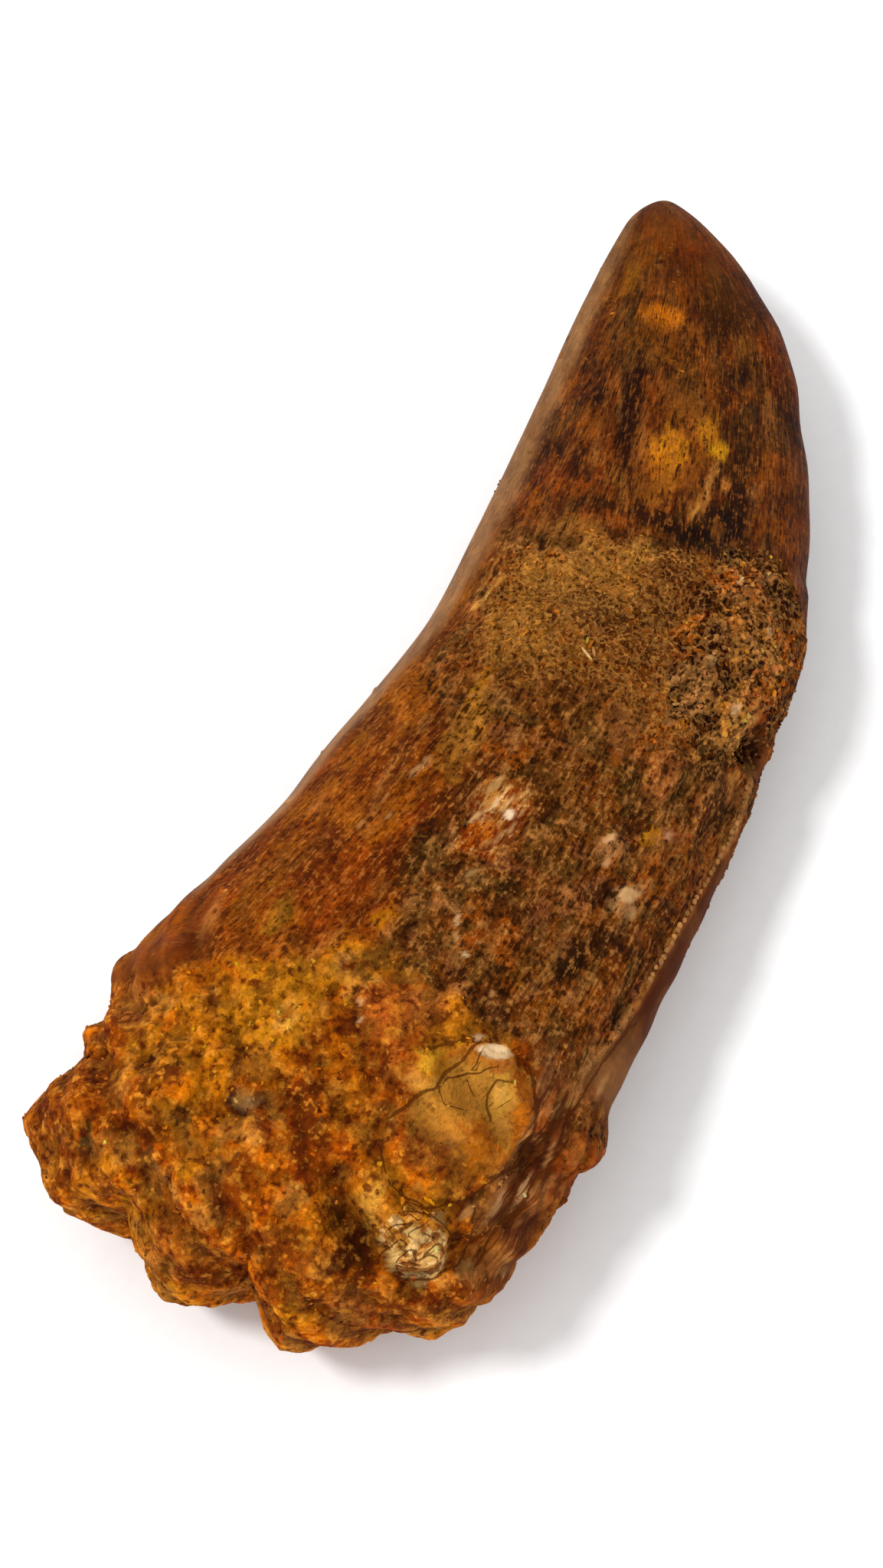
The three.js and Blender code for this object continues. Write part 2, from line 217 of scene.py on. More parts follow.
def cobbles(points, size, seed):
    """Rounded cobbles: each lattice cell of that size holds one random seed point, and the height is
    1 at the nearest seed and falls as a dome to 0 between the cobbles."""
    p = points / size
    cell = np.floor(p).astype(np.int64)
    nearest = np.full(p.shape[:-1], np.inf)
    for k in range(27):
        at = cell + np.array([k % 3 - 1, k // 3 % 3 - 1, k // 9 - 1])
        centre = at + np.stack([lattice(at, seed + n) for n in range(3)], -1)
        nearest = np.minimum(nearest, np.linalg.norm(centre - p, axis=-1))
    return np.sqrt(np.clip(1 - (nearest / COBBLE_RADIUS) ** 2, 0, 1))


# ---- the plain body -------------------------------------------------------------------------------

def section_points(x, v):
    """Points of the cross-sections at x, at angles v: four superellipse quarters between the edges
    and the faces, closed in towards the tip as an ellipse."""
    power = 2 / through(SQUARENESS, x)
    across = np.abs(np.cos(v)) ** power
    upright = np.abs(np.sin(v)) ** power
    rear, upper = np.cos(v) >= 0, np.sin(v) >= 0
    middle_y = np.where(upper, through(TOP_RIDGE, x), through(BELLY_LINE, x))
    edge_y = np.where(rear, through(REAR_EDGE, x), through(FRONT_EDGE, x))
    edge_z = np.where(rear, through(REAR_HEIGHT, x), through(FRONT_HEIGHT, x))
    face_z = np.where(upper, through(TOP, x), through(BELLY, x))
    y = middle_y + (edge_y - middle_y) * across
    z = edge_z + (face_z - edge_z) * upright
    along = np.clip((x - (TIP_X - TIP_ROUND)) / TIP_ROUND, 0, 1)
    closing = np.sqrt(1 - along * along)
    tip_y, tip_z = TIP_POINT
    return np.stack([x + 0 * v, tip_y + (y - tip_y) * closing, tip_z + (z - tip_z) * closing], -1)


def root_points(latitude, v):
    """Points of the root end: a superellipse cap over the root's section, from the section
    (latitude 0) to its pole (a quarter turn), pushed in plan to the outline of the lobes. The
    notches between the lobes die out towards the top and the underside."""
    root_x, root_y, root_z = ROOT_CENTRE
    power = 2 / ROOT_ROUND
    section = section_points(np.full_like(v, ROOT_X), v)
    ring = np.cos(latitude) ** power
    dx = -ROOT_REACH * np.sin(latitude) ** power + 0 * v
    dy = (section[..., 1] - root_y) * ring
    dz = (section[..., 2] - root_z) * ring
    angle = np.arctan2(dy, -dx)
    corners = np.array(ROOT_OUTLINE) - (root_x, root_y)
    reach = np.interp(angle, np.arctan2(corners[:, 1], -corners[:, 0]), np.hypot(*corners.T))
    side = np.where(dy >= 0, through(REAR_EDGE, ROOT_X), -through(FRONT_EDGE, ROOT_X))
    cap = (np.abs(np.cos(angle) / ROOT_REACH) ** ROOT_ROUND
           + np.abs(np.sin(angle) / side) ** ROOT_ROUND) ** (-1 / ROOT_ROUND)
    half_height = np.where(dz >= 0, through(TOP, ROOT_X) - root_z, root_z)
    low = 1 - np.clip(np.abs(dz) / half_height, 0, 1) ** 2
    push = 1 + (reach / cap - 1) * low
    return np.stack([root_x + dx * push, root_y + dy * push, root_z + dz], -1)


def plain_rings():
    """The plain body as a grid of rings from the root to the tip, and the angle of each column."""
    turn = TAU * np.arange(AROUND) / AROUND
    v = turn + UPPER_SHARE * np.cos(turn)
    latitudes = (1 - np.arange(1, ROOT_RINGS + 1) / (ROOT_RINGS + 1)) * math.pi / 2
    share = np.arange(BODY_RINGS) / BODY_RINGS
    tip_share = np.clip((share - 1) / TIP_RINGS_SHARE + 1, 0, 1)
    stations = through(STATIONS, share) + TIP_ROUND * np.sin(tip_share * math.pi / 2)
    cap = root_points(latitudes[:, None], v[None, :])
    body = section_points(stations[:, None], v[None, :] + 0 * stations[:, None])
    return np.concatenate([cap, body]), v


def outward(rings):
    """Unit normals of a grid of rings, from the neighbours along and around."""
    along = np.gradient(rings, axis=0)
    around = np.roll(rings, -1, axis=1) - np.roll(rings, 1, axis=1)
    normal = np.cross(around, along)
    return normal / np.maximum(np.linalg.norm(normal, axis=-1, keepdims=True), 1e-9)


def blurred(grid, reach):
    """Mean of a grid over the neighbours up to reach cells away, along and around."""
    ends = np.pad(grid, ((reach, reach), (0, 0)), mode="edge")
    rows = sum(ends[k:k + len(grid)] for k in range(2 * reach + 1))
    total = sum(np.roll(rows, k, axis=1) for k in range(-reach, reach + 1))
    return total / (2 * reach + 1) ** 2


# ---- relief that the CAD solid has too ------------------------------------------------------------

def oval(x, y, cx, cy, along_radius, across_radius, turn, power=2.0):
    """Distance from the centre of a turned oval, 1 on its rim. Below 2 the power makes it a lozenge."""
    a = math.radians(turn)
    along = ((x - cx) * math.cos(a) + (y - cy) * math.sin(a)) / along_radius
    across = ((y - cy) * math.cos(a) - (x - cx) * math.sin(a)) / across_radius
    return (np.abs(along) ** power + np.abs(across) ** power) ** (1 / power)


def forms_height(forms, x, y):
    """Sum of the lumps, plates and hollows at points in plan."""
    return sum(height * ramp(1 - oval(x, y, cx, cy, rx, ry, turn), 0, edge)
               for cx, cy, rx, ry, turn, height, edge in forms)


def offset_from(path, x, y):
    """Distance in plan to a path of straight runs, below 0 on its right-hand side."""
    nearest = np.full(np.shape(x), np.inf)
    for (ax, ay), (bx, by) in zip(path[:-1], path[1:]):
        run = (bx - ax, by - ay)
        t = np.clip(((x - ax) * run[0] + (y - ay) * run[1]) / (run[0] ** 2 + run[1] ** 2), 0, 1)
        aside = (x - ax - run[0] * t, y - ay - run[1] * t)
        away = np.hypot(*aside)
        away = np.where(run[0] * aside[1] < run[1] * aside[0], -away, away)
        nearest = np.where(np.abs(away) < np.abs(nearest), away, nearest)
    return nearest


def distance_to(path, x, y):
    """Distance in plan to a path of straight runs."""
    return np.abs(offset_from(path, x, y))


def sand_cover(x, y):
    """Share of the sandy layer's full thickness: all of it behind a wavy ledge, thinning away
    towards the root."""
    waves = [height * np.sin(rate * y + start) for height, rate, start in SAND_WAVES]
    ledge = sum(waves, SAND_FRONT - SAND_SLANT * y)
    return (ramp(ledge - x, 0, SAND_LEDGE) * ramp(x, SAND_ROOT_END, SAND_FULL_FROM)
            * ramp(SAND_REAR_EDGE - y, 0, SAND_REAR_FADE))


def swelling(x, y, z):
    """Slow swelling of the whole skin, stronger on the root than on the crown, and nearly none on
    the even rear edge."""
    wave = (np.sin(0.85 * x + 0.6 * z) * np.sin(0.75 * y + 0.4)
            + 0.6 * np.sin(1.3 * x - 1.1 * y + z))
    even_rear = ramp(through(REAR_EDGE, x) - y, 5, 2) * ramp(x, 26, 34)
    return (SWELLING_CROWN + SWELLING_MORE * ramp(x, 30, 20)) * (1 - 0.9 * even_rear) * wave


def coarse_relief(rings, upness):
    """How far the skin stands out from the plain body, in the forms that the CAD solid has too."""
    x, y, z = np.moveaxis(rings, -1, 0)
    cut = sum(depth * np.exp(-(distance_to(path, x, y) / width) ** 2) for path, width, depth in CREASES)
    upper = forms_height(UPPER_FORMS, x, y) + SAND_THICKNESS * sand_cover(x, y) - cut
    return (swelling(x, y, z) + ramp(upness, -0.1, 0.35) * upper
            + ramp(-upness, 0.1, 0.5) * forms_height(LOWER_FORMS, x, y))


# ---- kinds of surface -----------------------------------------------------------------------------

# Where the root's ochre crust gives way to the fibrous base of the crown, as y, x.
CRUST_EDGE = [(-22, 21), (-17, 21), (-15, 22), (-9, 25.0), (-3, 27.0), (2, 25.5), (7, 23), (12, 21),
              (19, 19)]

# Where the fibrous rear half of the crown's base gives way to the rough front half, as x, y.
ROUGH_EDGE = [(20, 0.5), (28, -1), (34, -0.5), (42, -1.5), (48, 3), (60, 3)]

# The raised front edge, as x, y. Outside it the flank is worn smooth.
CARINA = [(24.6, -17.5), (26.9, -18.2), (31.3, -19.1), (36.6, -19.8), (40.9, -20.4), (45.2, -21.0),
          (48.7, -21.3), (51.6, -21.1)]
FLANK_FROM, FLANK_TO = 22.5, 49

# Width of the smooth band along the rear edge, as x, value; its pale grey-tan is partly painted sheen.
BEVEL_WIDTH = [(22, 0.9), (28, 1.9), (36, 2.6), (45, 3.0), (64, 3.1), (78, 2.8), (88, 1.8), (TIP_X, 0.4)]

# Where single features lie: centre x, y, radius along, radius across, turn in degrees.
PLATE_OVAL = (17.4, -11.1, 5.9, 4.2, -16)
CREAM_OVAL = (8.0, -10.9, 1.8, 2.6, 10)
CHIP_OVAL = (38.9, -5.6, 3.4, 2.5, -16)
COARSE_OVAL = (59.0, -17.4, 8.8, 4.6, 2)
HOLE_OVAL = (53.6, -20.9, 2.6, 1.0, 14)


class Kinds:
    """Shares from 0 to 1 of each kind of surface at every point of the skin. Each is a region with
    soft edges in plan, in millimetres, whose rim wanders with slow drift and ragged finer noise."""

    def __init__(self, points, upness):
        x, y, _ = np.moveaxis(points, -1, 0)
        drift = cloud(points, 4.5, 11, 3)
        ragged = cloud(points, 1.3, 17, 2)
        patchy = cloud(points, 0.7, 19, 2)
        ridge_y = np.interp(x, *np.transpose(CARINA))
        from_rear = through(REAR_EDGE, x) - y
        self.from_front = y - through(FRONT_EDGE, x)
        self.upper = ramp(upness, -0.15, 0.25)

        def inside(place, wander, edge):
            """1 within an oval, falling to 0 at its wandering rim over that part of the radius."""
            return ramp(1.0 + wander - oval(x, y, *place), 0, edge)

        # the single features
        self.cream = inside(CREAM_OVAL, 0.3 * ragged, 0.15) * self.upper
        self.plate = (inside(PLATE_OVAL, 0.2 * ragged, 0.08)
                      * ramp(x + 3 * drift + 1.2 * ragged, 14.0, 16.8) * self.upper * (1 - self.cream))
        self.chip = inside(CHIP_OVAL, 0.5 * ragged, 0.12) * self.upper
        # the hole beside the step in the front edge, painted near black as painted shade
        self.hole = inside(HOLE_OVAL, 0.3 * ragged, 0.3) * ramp(upness, -0.8, -0.3)

        # the crusts
        crust_x = through(CRUST_EDGE, np.clip(y, CRUST_EDGE[0][0], CRUST_EDGE[-1][0]))
        self.crust = ramp(crust_x + 2.6 * drift + 0.8 * ragged - x, -0.8, 1.2)
        self.coarse = (inside(COARSE_OVAL, 0.05 + 0.25 * drift + 0.2 * ragged, 0.2)
                       * ramp(upness, -0.5, 0.0))
        cover = sand_cover(x + 3.5 * drift + 1.5 * ragged, y) + 0.7 * patchy
        upper_sand = ramp(cover, 0.25, 0.75) * ramp(y + 3 * drift, -17, -14)
        lower_sand = 0.8 * ramp(cloud(points, 9, 23, 3), 0.0, 0.4) * ramp(x, 28, 40) * ramp(x, 74, 62)
        self.sand = np.where(upness > 0, upper_sand * self.upper, lower_sand * (1 - self.upper))
        self.sand = self.sand * (1 - self.coarse)
        bare = (1 - self.sand) * (1 - self.coarse) * (1 - self.crust) * (1 - self.chip)

        # the worn flank below the carina, the rear edge's smooth band with painted sheen, and the crown
        self.flank = (ramp(ridge_y - y, 0.1, 0.5) * ramp(x, FLANK_FROM, FLANK_FROM + 2)
                      * ramp(x, FLANK_TO, FLANK_TO - 5) * bare)
        bevel_width = through(BEVEL_WIDTH, x) * (1 + 0.3 * drift)
        self.bevel = ramp(from_rear, bevel_width, 0.45 * bevel_width) * ramp(x + 4 * drift, 22, 33) * bare
        self.crown = ramp(x + 3 * drift, 62.5, 67) * bare * (1 - self.bevel)
        self.tip = ramp(x, 82, 91) * self.crown

        # what is left of the middle: rough in front and in patches below, fibrous behind
        rough_y = through(ROUGH_EDGE, x) + 2.5 * drift + 0.8 * ragged
        rest = bare * (1 - self.flank) * (1 - self.bevel) * (1 - self.crown)
        underside = ramp(cloud(points, 7, 29, 3), -0.2, 0.2)
        self.rough = rest * np.where(upness > 0, ramp(rough_y - y, -0.6, 1.4), underside)
        self.fibrous = rest - self.rough

        # layered band beside the plate, and the plain slopes at the root's front and rear
        self.strata = (ramp(y, -14.0, -15.4) * ramp(ridge_y - y, 0.6, 0.1) * ramp(x, 7, 9)
                       * ramp(x, 27, 21) * self.upper * (1 - self.plate) * (1 - self.cream))
        self.rough = self.rough * (1 - 0.8 * self.strata)
        self.crust = self.crust * (1 - 0.6 * self.strata)
        self.apron = ramp(y, -14.8, -16.2) * ramp(x, 25, 21) * ramp(upness, -0.9, -0.5)
        self.shoulder = ramp(y, 9, 12) * ramp(x, 29, 24) * (1 - self.crust)

        # how much of the skin is polished, or is the hole's even painted shade, and keeps its own even
        # colour
        polished_or_shaded = 0.9 * self.plate + 0.85 * self.bevel + 0.7 * self.flank + 0.8 * self.hole
        self.smooth = np.clip(polished_or_shaded, 0, 1)
        self.crumbly = self.crust * (1 - self.smooth) * self.upper


def streaks(points, kinds, length, width, seed):
    """Noise drawn out along the front edge: its lattice is length long and width wide."""
    x, _, z = np.moveaxis(points, -1, 0)
    return cloud(np.stack([x / length, kinds.from_front / width, z / length], -1), 1.0, seed, 2)


# Dark cracks: path as x, y, and half width.
CRACKS = [
    ([(15.6, -6.7), (16.9, -7.6), (18.4, -8.8), (19.6, -9.2), (21.0, -9.7), (22.7, -10.4)], 0.09),
    ([(20.9, -13.4), (20.6, -12.5), (19.6, -12.2), (18.6, -12.5), (18.0, -13.0)], 0.06),
    ([(22.0, -10.8), (20.9, -11.0), (20.2, -10.5), (19.4, -9.4)], 0.05),
    ([(21.3, -12.1), (20.4, -11.4), (20.2, -10.4)], 0.03), ([(20.2, -10.4), (19.2, -11.2)], 0.03),
    ([(18.6, -9.0), (17.6, -9.9), (17.8, -11.0)], 0.03), ([(19.7, -13.6), (18.9, -13.2)], 0.02),
    ([(13.2, -6.7), (11.4, -8.0), (10.7, -9.4), (10.9, -11.2), (12.1, -13.0), (14.0, -14.3)], 0.05),
    ([(14.0, -14.3), (15.6, -15.1), (18.8, -16.0), (20.8, -15.5), (22.6, -14.2)], 0.10),
    ([(13.6, -15.2), (16.2, -16.0), (19.4, -16.8), (22.6, -17.0)], 0.05),
    ([(10.6, -14.6), (13.4, -16.4), (17.0, -17.2)], 0.06),
    ([(6.8, -9.0), (7.8, -10.4), (7.0, -11.8), (8.6, -12.6)], 0.04),
    ([(8.2, -9.3), (9.2, -10.6), (8.9, -12.4)], 0.05), ([(9.9, -9.8), (10.4, -11.3), (9.9, -12.9)], 0.05),
    ([(8.4, -10.6), (9.8, -11.4)], 0.03), ([(6.6, -10.4), (7.4, -11.2), (7.9, -12.8)], 0.04),
    ([(6.3, -10.6), (6.9, -12.9), (8.6, -14.0), (10.6, -14.3), (12.4, -14.1)], 0.06),
    ([(9.4, -15.2), (13.0, -15.7), (17.0, -16.3), (20.4, -17.3), (22.7, -18.0), (24.4, -18.2),
      (27.3, -18.8), (31.2, -19.6), (34.0, -20.1), (37.4, -20.5)], 0.06),
    ([(12.6, -16.3), (16.6, -17.3), (19.4, -18.2)], 0.06), ([(40.6, -20.9), (43.0, -21.3)], 0.06),
    ([(36.4, -2.8), (38.6, -3.0), (41.2, -3.5), (43.2, -4.4)], 0.06),
    ([(41.8, -15.0), (43.6, -15.3)], 0.08), ([(44.9, -14.2), (47.4, -13.9)], 0.06),
    ([(20.9, -7.3), (21.6, -8.3), (22.6, -9.6)], 0.13),
    ([(49.0, -17.0), (51.2, -18.2)], 0.08),
]
CRACK_WANDER = 0.25             # how far noise pushes the cracks aside
CRACK_WIDTHS = 30               # beyond this many half widths all points are alike
CRACK_BESIDE = (0.45, 0.1)      # from this far off to this near, a point comes to count as on the crack
FAR = 9.0                       # further off than counts

# Height of each pattern on each kind of surface: slow lumps, big and small cobbles, fibres, pits.
RELIEF = {
    "crust": {"lumps": 0.24, "big": 0.14, "small": 0.18, "pits": -0.26},
    "sand": {"lumps": 0.10, "small": 0.10},
    "coarse": {"lumps": 0.20, "big": 0.16, "small": 0.34, "pits": -0.5},
    "rough": {"lumps": 0.14, "big": 0.08, "small": 0.12, "fibres": 0.16, "pits": -0.14},
    "fibrous": {"fibres": 0.11, "lumps": 0.05},
    "crown": {"fibres": 0.05, "lumps": 0.03},
    "chip": {"flakes": 0.25},
}
COBBLE_MEAN = 0.6               # taken off the cobbles, so that they raise and lower the skin alike
LAYER_NOISE = (7.0, 0.75, 67)   # length, width and seed, for the layers' relief and their colour
TIP_WEAR = 0.7                  # share of the crown's relief that is worn off the tip
STRATA_HEIGHT = 0.12
CREAM_HEIGHT = 0.3
PLATE_HEIGHT = 0.06
CRACK_DEPTH = 0.06
CARINA_HEIGHT, CARINA_HALF_WIDTH = 0.16, 0.22
FLAKE_STEPS = 3.2               # flat steps of the chip's flakes from the middle to the highest


def crack_lines(points, kinds):
    """Two numbers that draw the cracks finer than the grid: how many half widths each point is to
    one side of the nearest crack, and how close it is, from 1 on the crack to 0 beside it."""
    x, y, _ = np.moveaxis(points, -1, 0)
    x = x + CRACK_WANDER * cloud(points, 1.4, 107, 2)
    y = y + CRACK_WANDER * cloud(points, 1.4, 109, 2)
    nearest = np.full(x.shape, FAR)
    aside = np.full(x.shape, FAR)
    for path, half_width in CRACKS:
        offset = offset_from(path, x, y)
        away = np.abs(offset) - half_width
        aside = np.where(away < nearest, offset / half_width, aside)
        nearest = np.minimum(nearest, away)
    return np.clip(aside, -CRACK_WIDTHS, CRACK_WIDTHS), ramp(nearest, *CRACK_BESIDE) * kinds.upper


def chip_flakes(points, kinds):
    """Height from -1 to 1 of the flakes in the chip: noise drawn out along the tooth and cut into
    flat steps, so that it breaks into thin plates with crisp rims."""
    return np.round(FLAKE_STEPS * streaks(points, kinds, 1.7, 0.7, 131)) / FLAKE_STEPS


def fine_relief(points, kinds, cracks):
    """Relief that the CAD solid leaves out: cobbles and pits on the crusts, layers along the front
    edge, flakes in the chip, the raised carina, and cracks."""
    x, y, _ = np.moveaxis(points, -1, 0)
    patterns = {
        "lumps": cloud(points, 2.6, 3, 3),
        "big": cobbles(points, 1.6, 41) - COBBLE_MEAN,
        "small": cobbles(points, 0.8, 47) - COBBLE_MEAN,
        "fibres": streaks(points, kinds, 3.0, 0.7, 71),
        "pits": ramp(cloud(points, 1.5, 61, 2), 0.28, 0.55),
        "flakes": chip_flakes(points, kinds),
    }
    height = 0
    for kind, heights in RELIEF.items():
        share = getattr(kinds, kind)
        if kind == "crown":
            share = share * (1 - TIP_WEAR * kinds.tip)
        height = height + share * sum(part * patterns[pattern] for pattern, part in heights.items())
    layers = streaks(points, kinds, *LAYER_NOISE)
    height = height * (1 - kinds.smooth) * (1 - 0.5 * kinds.cream)
    height = height + STRATA_HEIGHT * kinds.strata * layers
    height = height + CREAM_HEIGHT * kinds.cream * patterns["big"]
    height = height + PLATE_HEIGHT * kinds.plate * patterns["lumps"]
    carina = np.exp(-(distance_to(CARINA, x, y) / CARINA_HALF_WIDTH) ** 2)
    worn = ramp(cloud(points, 1.6, 63, 2), -0.5, 0.1)
    return height + CARINA_HEIGHT * carina * worn * kinds.upper - CRACK_DEPTH * cracks


# ---- colours, as sRGB from 0 to 255 ---------------------------------------------------------------

UMBER = (56, 32, 14)
DARK_RED = (88, 36, 10)
ORANGE = (196, 108, 12)
OCHRE = (178, 110, 20)
YELLOW_OCHRE = (200, 138, 28)
YELLOW = (228, 172, 48)
OLIVE = (114, 84, 34)
DARK_OLIVE = (68, 50, 20)
TAN = (168, 116, 56)
PINK_TAN = (176, 110, 68)
PALE_TAN = (196, 146, 88)
PURPLE_BROWN = (76, 38, 26)

# Colour of the bare surface along the tooth.
ALONG_COLOURS = [(0, (156, 84, 14)), (22, (146, 76, 14)), (34, (134, 68, 14)), (46, (128, 70, 18)),
                 (56, (128, 72, 22)), (68, (120, 62, 16)), (78, (105, 55, 13)), (88, (120, 63, 15)),
                 (95, (146, 76, 22))]
